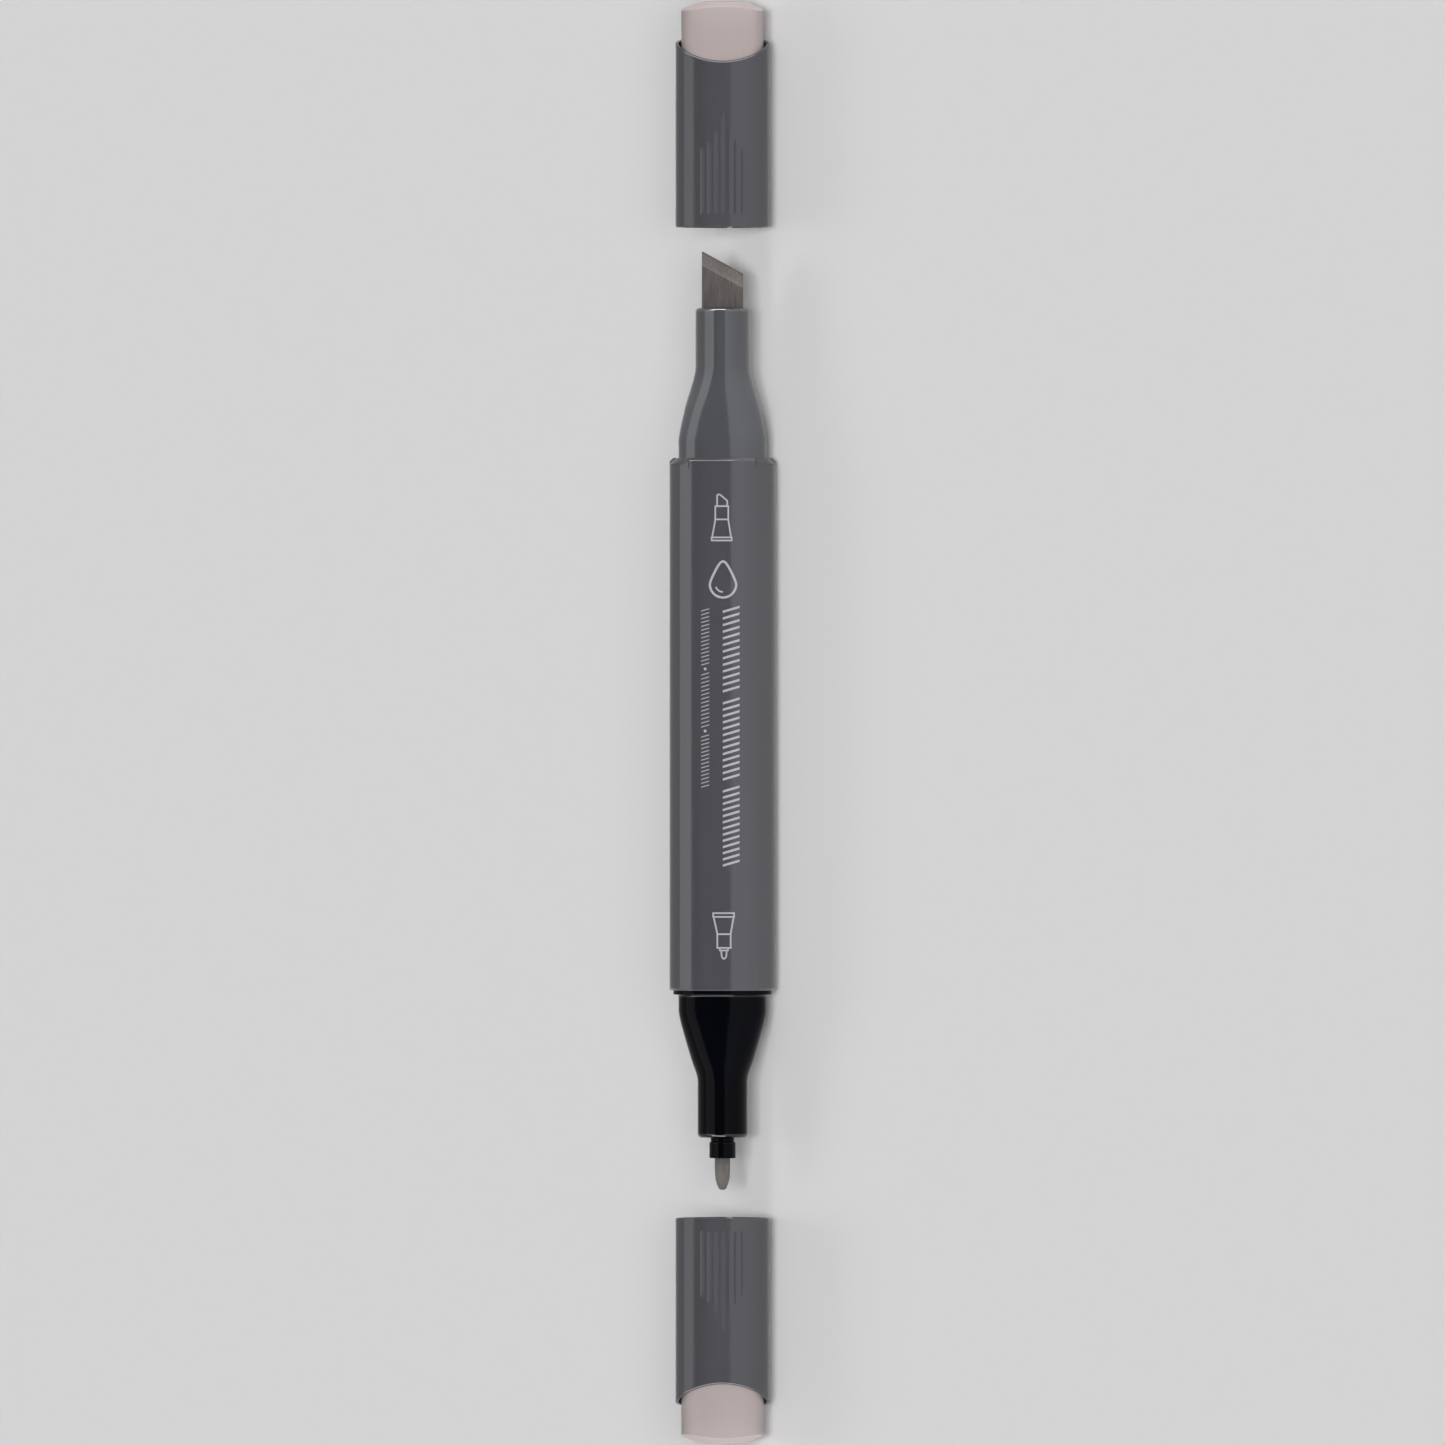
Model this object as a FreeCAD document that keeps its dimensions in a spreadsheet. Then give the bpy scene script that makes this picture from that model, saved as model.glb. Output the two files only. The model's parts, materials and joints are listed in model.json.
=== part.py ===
import FreeCAD, Part
import Sketcher
import math
import os

# Double-ended felt tip marker, both caps drawn off their necks.
# The marker lies on one of its three faces: Z = 0 is the surface it rests on,
# the long axis is Y (broad chisel nib towards +Y, bullet nib towards -Y) and
# passes over the origin.  All sizes are in millimetres.

doc = FreeCAD.newDocument("felt_tip_marker")
V = FreeCAD.Vector

# ---------------------------------------------------------------- dimensions
sheet = doc.addObject("Spreadsheet::Sheet", "Dimensions")
ROWS = [
    # barrel
    ("barrel_half_width", 8.045, "half the barrel's width across two corners"),
    ("barrel_corner", 4.586, "corner radius of the barrel's section"),
    ("barrel_top", 40.07, "chisel-end shoulder"),
    ("barrel_bottom", 40.6, "bullet-end face, measured towards -Y"),
    ("barrel_bore", 6.0, "radius of the bore"),
    ("shoulder_chamfer", 0.95, "chamfer round the chisel-end shoulder"),
    ("rear_chamfer", 0.4, "chamfer round the bullet-end face"),
    # necks
    ("base_half_width", 6.66, "half width of the keyed neck base"),
    ("base_corner", 3.314, "corner radius of the keyed neck base"),
    ("chisel_base_end", 42.6, "end of the straight base"),
    ("chisel_flare_end", 54.0, "where the flare has become round"),
    ("chisel_neck_radius", 4.1, "round part of the chisel neck"),
    ("chisel_neck_end", 62.8, "lip of the chisel neck"),
    ("bullet_base_end", 43.6, "end of the straight base, towards -Y"),
    ("bullet_flare_end", 54.5, "where the flare has become round"),
    ("bullet_neck_radius", 3.765, "round part of the bullet neck"),
    ("bullet_neck_end", 62.9, "lip of the bullet neck"),
    ("flange_half_width", 7.49, "half width of the bullet neck's flange"),
    ("flange_corner", 4.031, "corner radius of the flange"),
    ("flange_thickness", 0.6, "thickness of the flange"),
    ("spigot_length", 6.6, "depth of each neck's spigot in the barrel"),
    ("cup_radius", 5.17, "cup in the spigot that holds the ink core"),
    ("cup_depth", 3.6, "depth of that cup"),
    ("lip_fillet", 0.55, "rounding of each neck's lip"),
    # nibs
    ("chisel_width", 6.24, "broad side of the chisel nib"),
    ("chisel_thickness", 4.0, "narrow side of the chisel nib"),
    ("chisel_long", 71.4, "long corner of the chisel nib"),
    ("chisel_short", 68.0, "short corner of the chisel nib"),
    ("chisel_bevel", 2.15, "height of the bevels, measured along Y"),
    ("chisel_edge", 1.5, "thickness left at the slanted writing edge"),
    ("nib_tail", 24.0, "inner end of both nibs"),
    ("nib_slot_gap", 0.0, "gap round the chisel nib in its slot"),
    ("bullet_radius", 1.17, "radius of the bullet nib"),
    ("bullet_tip", 70.8, "tip of the bullet nib, towards -Y"),
    ("ring_radius", 1.8, "narrow ring behind the bullet collar"),
    ("ring_length", 0.6, "length of that ring"),
    ("collar_radius", 2.0, "collar round the bullet nib"),
    ("collar_end", 66.0, "end of the collar, towards -Y"),
    ("collar_spigot", 1.6, "radius of the collar's spigot"),
    ("collar_spigot_end", 58.0, "inner end of that spigot"),
    # ink core
    ("core_radius", 5.0, "fibre ink core"),
    ("film_radius", 5.16, "outside of the film round the core"),
    ("core_top", 37.0, "chisel end of the core"),
    ("core_bottom", 37.5, "bullet end of the core, towards -Y"),
    # caps
    ("cap_mouth", 75.0, "distance of a drawn-off cap's mouth from the middle"),
    ("cap_length", 34.3, "mouth to closed end"),
    ("shell_half_width", 7.12, "half width of the shell"),
    ("shell_corner", 3.774, "corner radius of the shell"),
    ("shell_wall", 0.42, "wall of the shell"),
    ("scoop_radius", 14.8, "radius of the scooped end"),
    ("scoop_low", 25.07, "lowest point of the scoop above the mouth"),
    ("scoop_slope", 0.27, "rise of the scoop per mm from front to back"),
    ("plug_half_width", 6.24, "half width of the colour plug"),
    ("plug_corner", 2.894, "corner radius of the colour plug"),
    ("plug_skirt_start", 16.0, "open end of the plug above the mouth"),
    ("plug_skirt_end", 24.3, "ledge where the plug narrows"),
    ("plug_wall", 1.2, "thickness of the plug's end wall"),
    ("plug_flat", 3.3, "radius of the plug's flat end"),
    ("plug_slope", 0.42, "fall of the plug's end cone per mm of radius"),
    ("seal_radius", 5.0, "outside of the inner seal cup"),
    ("seal_start", 15.5, "open end of the seal above the mouth"),
    ("seal_lip_length", 4.0, "length of the sealing band"),
    ("seal_relief", 4.45, "inner radius beyond the sealing band"),
    ("seal_floor", 32.2, "inside of the seal's closed end above the mouth"),
    ("chisel_seal_bore", 4.14, "sealing band of the chisel cap"),
    ("bullet_seal_bore", 3.8, "sealing band of the bullet cap"),
    ("rib_pitch", 1.02, "pitch of the grip ribs"),
    ("rib_width", 0.5, "width of a grip rib"),
    ("rib_height", 0.14, "height of a grip rib"),
    ("rib_start", 1.8, "lower end of the ribs above the mouth"),
    ("rib_long", 17.5, "upper end of the middle rib above the mouth"),
    ("rib_mid", 15.0, "upper end of the next pair"),
    ("rib_short", 13.4, "upper end of the third pair"),
    ("rib_outer", 12.3, "upper end of the outermost pair"),
]
for number, (alias, value, note) in enumerate(ROWS, start=1):
    sheet.set("A%d" % number, note)
    sheet.set("B%d" % number, repr(value))
    sheet.setAlias("B%d" % number, alias)
doc.recompute()


class Dim:
    """A length that knows both its value and the expression that gives it."""

    def __init__(self, text, value):
        self.text, self.value = text, float(value)

    @staticmethod
    def of(x):
        return x if isinstance(x, Dim) else Dim(repr(float(x)), x)

    def __add__(self, o):
        o = Dim.of(o)
        return Dim("(%s + %s)" % (self.text, o.text), self.value + o.value)

    __radd__ = __add__

    def __sub__(self, o):
        o = Dim.of(o)
        return Dim("(%s - %s)" % (self.text, o.text), self.value - o.value)

    def __rsub__(self, o):
        return Dim.of(o) - self

    def __mul__(self, o):
        o = Dim.of(o)
        return Dim("(%s * %s)" % (self.text, o.text), self.value * o.value)

    __rmul__ = __mul__

    def __neg__(self):
        return Dim("(0 - %s)" % self.text, -self.value)


def D(alias):
    return Dim("Dimensions." + alias, sheet.get(alias))


# The section is a soft triangle with one corner up: three corner arcs and
# three face arcs that meet tangentially, always at the same angle.
PHI = math.asin(1 / 3)
T30 = math.tan(math.radians(30))
AXIS_HEIGHT = D("barrel_half_width") * 0.7489182 + D("barrel_corner") * 0.2510818


def section(half_width, corner):
    """Centres and radii of the section's arcs, as plain numbers."""
    c = half_width - corner
    rho = c / math.cos(math.radians(30))
    face = 3 * half_width - 2 * corner
    back = face - (half_width * 0.7489182 + corner * 0.2510818)
    return rho, face, back


def plane(body, role):
    for f in body.Origin.OriginFeatures:
        if f.Role == role:
            return f


def new_body(name):
    b = doc.addObject("PartDesign::Body", name)
    b.Label = name
    return b


def sketch_at(body, name, y):
    """An empty sketch across the axis at this Y; its x is X and its y is Z."""
    s = body.newObject("Sketcher::SketchObject", name)
    s.AttachmentSupport = [(plane(body, "XZ_Plane"), "")]
    s.MapMode = "FlatFace"
    s.AttachmentOffset = FreeCAD.Placement(V(0, AXIS_HEIGHT.value, -y.value), FreeCAD.Rotation())
    s.setExpression("AttachmentOffset.Base.y", AXIS_HEIGHT.text)
    s.setExpression("AttachmentOffset.Base.z", (-y).text)
    return s


def at(s, geo, pos, x=None, y=None):
    """Holds a point of the sketch at x and y, measured from the sketch's origin."""
    for kind, d in (("DistanceX", x), ("DistanceY", y)):
        if d is None:
            continue
        d = Dim.of(d)
        if abs(d.value) < 1e-9:
            s.addConstraint(Sketcher.Constraint("PointOnObject", geo, pos, -2 if kind == "DistanceX" else -1))
            continue
        if d.value > 0:
            i = s.addConstraint(Sketcher.Constraint(kind, -1, 1, geo, pos, d.value))
            s.setExpression("Constraints[%d]" % i, d.text)
        else:
            i = s.addConstraint(Sketcher.Constraint(kind, geo, pos, -1, 1, -d.value))
            s.setExpression("Constraints[%d]" % i, (-d).text)


def arc(cx, cy, r, a0, a1):
    return Part.ArcOfCircle(Part.Circle(V(cx, cy, 0), V(0, 0, 1), r), a0, a1)


def triangle_sketch(body, name, y, half_width, corner):
    """The soft triangle, fully held: corner centres, radii and tangency."""
    s = sketch_at(body, name, y)
    rho, face, back = section(half_width.value, corner.value)
    for k in range(3):
        a = math.radians(90 + 120 * k)
        half = math.radians(60) - PHI
        s.addGeometry(arc(rho * math.cos(a), rho * math.sin(a), corner.value, a - half, a + half))
        f = a + math.radians(60)
        s.addGeometry(arc(-back * math.cos(f), -back * math.sin(f), face, f - PHI, f + PHI))
    for k in range(6):
        s.addConstraint(Sketcher.Constraint("Tangent", k, 2, (k + 1) % 6, 1))
    c = half_width - corner
    at(s, 0, 3, x=0, y=c * (2 * T30))
    at(s, 2, 3, x=-c, y=-(c * T30))
    at(s, 4, 3, x=c, y=-(c * T30))
    i = s.addConstraint(Sketcher.Constraint("Radius", 0, corner.value))
    s.setExpression("Constraints[%d]" % i, corner.text)
    i = s.addConstraint(Sketcher.Constraint("Radius", 1, face))
    s.setExpression("Constraints[%d]" % i, (half_width * 3 - corner * 2).text)
    for g in (2, 4):
        s.addConstraint(Sketcher.Constraint("Equal", 0, g))
        s.addConstraint(Sketcher.Constraint("Equal", 1, g + 1))
    return s


def ring_sketch(body, name, y, radius):
    """A circle in six arcs, cut at the same angles as the soft triangle."""
    s = sketch_at(body, name, y)
    for k in range(3):
        a = math.radians(90 + 120 * k)
        half = math.radians(60) - PHI
        s.addGeometry(arc(0, 0, radius.value, a - half, a + half))
        f = a + math.radians(60)
        s.addGeometry(arc(0, 0, radius.value, f - PHI, f + PHI))
    for k in range(6):
        s.addConstraint(Sketcher.Constraint("Coincident", k, 3, -1, 1))
    # five joints tie all six arcs to one radius; the sixth closes by itself
    for k in range(5):
        s.addConstraint(Sketcher.Constraint("Coincident", k, 2, k + 1, 1))
    i = s.addConstraint(Sketcher.Constraint("Radius", 0, radius.value))
    s.setExpression("Constraints[%d]" % i, radius.text)
    return s


def circle_sketch(body, name, y, radius):
    s = sketch_at(body, name, y)
    s.addGeometry(Part.Circle(V(0, 0, 0), V(0, 0, 1), radius.value))
    s.addConstraint(Sketcher.Constraint("Coincident", 0, 3, -1, 1))
    i = s.addConstraint(Sketcher.Constraint("Radius", 0, radius.value))
    s.setExpression("Constraints[%d]" % i, radius.text)
    return s


def extrude(body, kind, name, profile, length, up):
    """A pad or pocket along Y; up is True towards +Y."""
    f = body.newObject("PartDesign::" + kind, name)
    f.Profile = profile
    f.Length = length.value
    f.setExpression("Length", length.text)
    # the sketch's own normal is -Y; a pocket's default runs against it
    f.Reversed = up if kind == "Pad" else not up
    return f


def profile_body(name, points):
    """A round piece: a closed profile of (y, radius) turned about the axis."""
    body = new_body(name)
    s = body.newObject("Sketcher::SketchObject", name + "_profile")
    s.AttachmentSupport = [(plane(body, "YZ_Plane"), "")]
    s.MapMode = "FlatFace"
    s.AttachmentOffset = FreeCAD.Placement(V(0, AXIS_HEIGHT.value, 0), FreeCAD.Rotation())
    s.setExpression("AttachmentOffset.Base.y", AXIS_HEIGHT.text)
    pts = [(Dim.of(a), Dim.of(b)) for a, b in points]
    n = len(pts)
    for k in range(n):
        p, q = pts[k], pts[(k + 1) % n]
        s.addGeometry(Part.LineSegment(V(p[0].value, p[1].value, 0), V(q[0].value, q[1].value, 0)))
    for k in range(n):
        s.addConstraint(Sketcher.Constraint("Coincident", k, 2, (k + 1) % n, 1))
    for k in range(n):
        at(s, k, 1, x=pts[k][0], y=pts[k][1])
    rev = body.newObject("PartDesign::Revolution", name + "_turned")
    rev.Profile = s
    rev.ReferenceAxis = (s, ["H_Axis"])
    rev.Angle = 360.0
    return body


def edges_where(shape, test):
    names = []
    for k, e in enumerate(shape.Edges, start=1):
        pts = [e.valueAt(e.FirstParameter + (e.LastParameter - e.FirstParameter) * t) for t in (0.0, 0.3, 0.7, 1.0)]
        if all(test(p) for p in pts):
            names.append("Edge%d" % k)
    return names


def radius_of(p):
    return math.hypot(p.x, p.z - AXIS_HEIGHT.value)


def dress(body, kind, name, size, test):
    """A fillet or chamfer on the edges that pass the test."""
    doc.recompute()
    base = body.Tip
    f = body.newObject("PartDesign::" + kind, name)
    f.Base = (base, edges_where(base.Shape, test))
    if kind == "Fillet":
        f.Radius = size.value
        f.setExpression("Radius", size.text)
    else:
        f.Size = size.value
        f.setExpression("Size", size.text)
    return f


def near(a, b):
    return abs(a - b) < 1e-4


# ------------------------------------------------------------------- barrel
top, bottom = D("barrel_top"), -D("barrel_bottom")
barrel = new_body("barrel")
outline = triangle_sketch(barrel, "barrel_outline", bottom, D("barrel_half_width"), D("barrel_corner"))
extrude(barrel, "Pad", "barrel_tube", outline, top - bottom, True)
bore = circle_sketch(barrel, "barrel_bore_outline", bottom, D("barrel_bore"))
extrude(barrel, "Pocket", "barrel_bore_cut", bore, top - bottom, True)
dress(barrel, "Chamfer", "barrel_shoulder", D("shoulder_chamfer"),
      lambda p: near(p.y, top.value) and radius_of(p) > 6.5)
dress(barrel, "Chamfer", "barrel_rear_edge", D("rear_chamfer"),
      lambda p: near(p.y, bottom.value) and radius_of(p) > 6.5)


# -------------------------------------------------------------------- necks
def neck(name, sign, seat, flange, base_end, flare_end, radius, lip, stages, hole):
    """One neck: spigot, optional flange, keyed base, flare and round nose.

    sign is +1 towards +Y; seat, base_end, flare_end and lip are distances from
    the middle along that direction; stages gives, for points along the flare,
    the share of the way from keyed base to round nose in width and in shape.
    """
    up = sign > 0
    body = new_body(name)
    spigot = circle_sketch(body, name + "_spigot_outline", sign * (seat - D("spigot_length")), D("barrel_bore"))
    extrude(body, "Pad", name + "_spigot", spigot, D("spigot_length"), up)
    start = seat
    if flange:
        rim = triangle_sketch(body, name + "_flange_outline", sign * seat, D("flange_half_width"), D("flange_corner"))
        extrude(body, "Pad", name + "_flange", rim, D("flange_thickness"), up)
        start = seat + D("flange_thickness")
    hw, rc = D("base_half_width"), D("base_corner")
    base = triangle_sketch(body, name + "_base_outline", sign * start, hw, rc)
    extrude(body, "Pad", name + "_base", base, base_end - start, up)
    first = triangle_sketch(body, name + "_flare_0", sign * base_end, hw, rc)
    sections = []
    for k, (along, width, round_off) in enumerate(stages, start=1):
        w = hw + (radius - hw) * width
        # the corner radius goes from the base's share of the width to all of it
        ratio = rc.value / hw.value
        share = ratio + (1 - ratio) * round_off
        sections.append(triangle_sketch(body, "%s_flare_%d" % (name, k),
                                        sign * (base_end + (flare_end - base_end) * along), w, w * share))
    sections.append(ring_sketch(body, name + "_flare_end", sign * flare_end, radius))
    loft = body.newObject("PartDesign::AdditiveLoft", name + "_flare")
    loft.Profile = first
    loft.Sections = sections
    loft.Ruled = True
    nose = circle_sketch(body, name + "_nose_outline", sign * flare_end, radius)
    extrude(body, "Pad", name + "_nose", nose, lip - flare_end, up)
    dress(body, "Fillet", name + "_lip", D("lip_fillet"),
          lambda p: near(p.y, sign * lip.value) and radius_of(p) > radius.value - 0.01)
    cup = circle_sketch(body, name + "_cup_outline", sign * (seat - D("spigot_length")), D("cup_radius"))
    extrude(body, "Pocket", name + "_cup", cup, D("cup_depth"), up)
    hole(body)
    return body


def rectangle_sketch(body, name, y, wide, thick):
    """A rectangle turned so that its broad sides face 30 degrees above +X."""
    s = sketch_at(body, name, y)
    ux, uz = math.cos(math.radians(-60)), math.sin(math.radians(-60))
    dx, dz = math.cos(math.radians(30)), math.sin(math.radians(30))
    corners = []
    for a, b in ((-0.5, -0.5), (0.5, -0.5), (0.5, 0.5), (-0.5, 0.5)):
        corners.append((wide * (a * ux) + thick * (b * dx), wide * (a * uz) + thick * (b * dz)))
    for k in range(4):
        p, q = corners[k], corners[(k + 1) % 4]
        s.addGeometry(Part.LineSegment(V(p[0].value, p[1].value, 0), V(q[0].value, q[1].value, 0)))
    for k in range(4):
        s.addConstraint(Sketcher.Constraint("Coincident", k, 2, (k + 1) % 4, 1))
    for k in range(4):
        at(s, k, 1, x=corners[k][0], y=corners[k][1])
    return s


def chisel_slot(body):
    s = rectangle_sketch(body, "chisel_slot_outline", D("nib_tail"),
                         D("chisel_width") + D("nib_slot_gap") * 2, D("chisel_thickness") + D("nib_slot_gap") * 2)
    extrude(body, "Pocket", "chisel_slot", s, D("chisel_neck_end") - D("nib_tail") + 1, True)


def bullet_holes(body):
    s = circle_sketch(body, "bullet_collar_hole_outline", -D("bullet_neck_end") - 1, D("collar_spigot"))
    extrude(body, "Pocket", "bullet_collar_hole", s, D("bullet_neck_end") - D("collar_spigot_end") + 1, True)
    s = circle_sketch(body, "bullet_nib_hole_outline", -D("nib_tail"), D("bullet_radius"))
    extrude(body, "Pocket", "bullet_nib_hole", s, D("bullet_neck_end") - D("nib_tail") + 1, False)


chisel_neck = neck("chisel_neck", 1, D("barrel_top"), False, D("chisel_base_end"), D("chisel_flare_end"),
                   D("chisel_neck_radius"), D("chisel_neck_end"),
                   [(0.06, 0.02, 0.01), (0.12, 0.06, 0.03), (0.18, 0.115, 0.06), (0.30, 0.225, 0.14), (0.41, 0.337, 0.24),
                    (0.50, 0.44, 0.34), (0.60, 0.575, 0.46), (0.70, 0.71, 0.59), (0.80, 0.84, 0.73),
                    (0.88, 0.93, 0.85), (0.95, 0.985, 0.94)], chisel_slot)
bullet_neck = neck("bullet_neck", -1, D("barrel_bottom"), True, D("bullet_base_end"), D("bullet_flare_end"),
                   D("bullet_neck_radius"), D("bullet_neck_end"),
                   [(0.06, 0.025, 0.01), (0.11, 0.06, 0.03), (0.16, 0.10, 0.05), (0.25, 0.19, 0.11), (0.344, 0.293, 0.18),
                    (0.45, 0.405, 0.28), (0.55, 0.515, 0.39), (0.65, 0.625, 0.51), (0.75, 0.75, 0.64),
                    (0.83, 0.86, 0.76), (0.90, 0.945, 0.87), (0.96, 0.99, 0.95)], bullet_holes)

# --------------------------------------------------------------- chisel nib
# A rectangular stick whose end is cut on a slant and bevelled on both broad
# sides, made in its own frame: x across the broad side, y along the marker,
# z through the thickness, and then turned into place.
nib_place = FreeCAD.Placement(
    V(0, 0, AXIS_HEIGHT.value),
    FreeCAD.Rotation(V(math.cos(math.radians(-60)), 0, math.sin(math.radians(-60))), V(0, 1, 0),
                     V(math.cos(math.radians(30)), 0, math.sin(math.radians(30))), "ZXY"))
wide, thick = D("chisel_width"), D("chisel_thickness")
stick = doc.addObject("Part::Box", "chisel_stick")
for prop, d in (("Length", wide), ("Width", D("chisel_long") - D("nib_tail")), ("Height", thick)):
    setattr(stick, prop, d.value)
    stick.setExpression(prop, d.text)
stick.Placement = nib_place.multiply(
    FreeCAD.Placement(V(-wide.value / 2, D("nib_tail").value, -thick.value / 2), FreeCAD.Rotation()))
slant = math.degrees(math.atan2(D("chisel_short").value - D("chisel_long").value, wide.value))


def nib_cutter(name, at_point, turn):
    """A box whose lower face passes through the point and is then turned."""
    b = doc.addObject("Part::Box", name)
    b.Length, b.Width, b.Height = 30, 10, 30
    local = FreeCAD.Placement(at_point, FreeCAD.Rotation(V(0, 0, 1), slant))
    local = local.multiply(FreeCAD.Placement(V(0, 0, 0), FreeCAD.Rotation(V(1, 0, 0), turn)))
    local = local.multiply(FreeCAD.Placement(V(-15, 0, -15), FreeCAD.Rotation()))
    b.Placement = nib_place.multiply(local)
    return b


long_corner = D("chisel_long").value
mid_y = (D("chisel_long").value + D("chisel_short").value) / 2
drop = D("chisel_bevel").value * math.cos(math.radians(slant))
lean = math.degrees(math.atan2(drop, (thick.value - D("chisel_edge").value) / 2))
cutters = [nib_cutter("slant_cut", V(0, mid_y, 0), 0.0)]
for side in (1, -1):
    cutters.append(nib_cutter("bevel_cut_%s" % ("front" if side > 0 else "back"),
                              V(0, mid_y, side * D("chisel_edge").value / 2), side * lean))
cut_tool = doc.addObject("Part::MultiFuse", "chisel_nib_cutters")
cut_tool.Shapes = cutters
chisel_nib = doc.addObject("Part::Cut", "chisel_nib")
chisel_nib.Base = stick
chisel_nib.Tool = cut_tool
chisel_nib.Label = "chisel_nib"

# --------------------------------------------------- bullet nib and collar
r = D("bullet_radius")
bullet_nib = profile_body("bullet_nib", [
    (-D("nib_tail"), 0), (-D("nib_tail"), r), (-(D("bullet_tip") - 2.5), r), (-(D("bullet_tip") - 1.55), r * 0.84),
    (-(D("bullet_tip") - 0.8), r * 0.58), (-(D("bullet_tip") - 0.3), r * 0.33), (-(D("bullet_tip") - 0.06), r * 0.13),
    (-D("bullet_tip"), 0)])
neck_end = D("bullet_neck_end")
collar = profile_body("bullet_nib_collar", [
    (-D("collar_spigot_end"), r), (-D("collar_spigot_end"), D("collar_spigot")), (-neck_end, D("collar_spigot")),
    (-neck_end, D("ring_radius")), (-(neck_end + D("ring_length")), D("ring_radius")),
    (-(neck_end + D("ring_length") + 0.15), D("collar_radius")), (-(D("collar_end") - 0.12), D("collar_radius")),
    (-D("collar_end"), D("collar_radius") - 0.12), (-D("collar_end"), r)])

# ----------------------------------------------------------------- ink core
core = new_body("ink_reservoir")
s = circle_sketch(core, "core_outline", -D("core_bottom"), D("core_radius"))
extrude(core, "Pad", "core_rod", s, D("core_top") + D("core_bottom"), True)
s = rectangle_sketch(core, "core_chisel_socket_outline", D("nib_tail"), wide, thick)
extrude(core, "Pocket", "core_chisel_socket", s, D("core_top") - D("nib_tail") + 1, True)
s = circle_sketch(core, "core_bullet_socket_outline", -D("nib_tail"), D("bullet_radius"))
extrude(core, "Pocket", "core_bullet_socket", s, D("core_bottom") - D("nib_tail") + 1, False)

film = new_body("reservoir_wrap")
s = circle_sketch(film, "film_outline", -D("core_bottom"), D("film_radius"))
extrude(film, "Pad", "film_tube", s, D("core_top") + D("core_bottom"), True)
s = circle_sketch(film, "film_bore_outline", -D("core_bottom"), D("core_radius"))
extrude(film, "Pocket", "film_bore", s, D("core_top") + D("core_bottom"), True)


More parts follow.
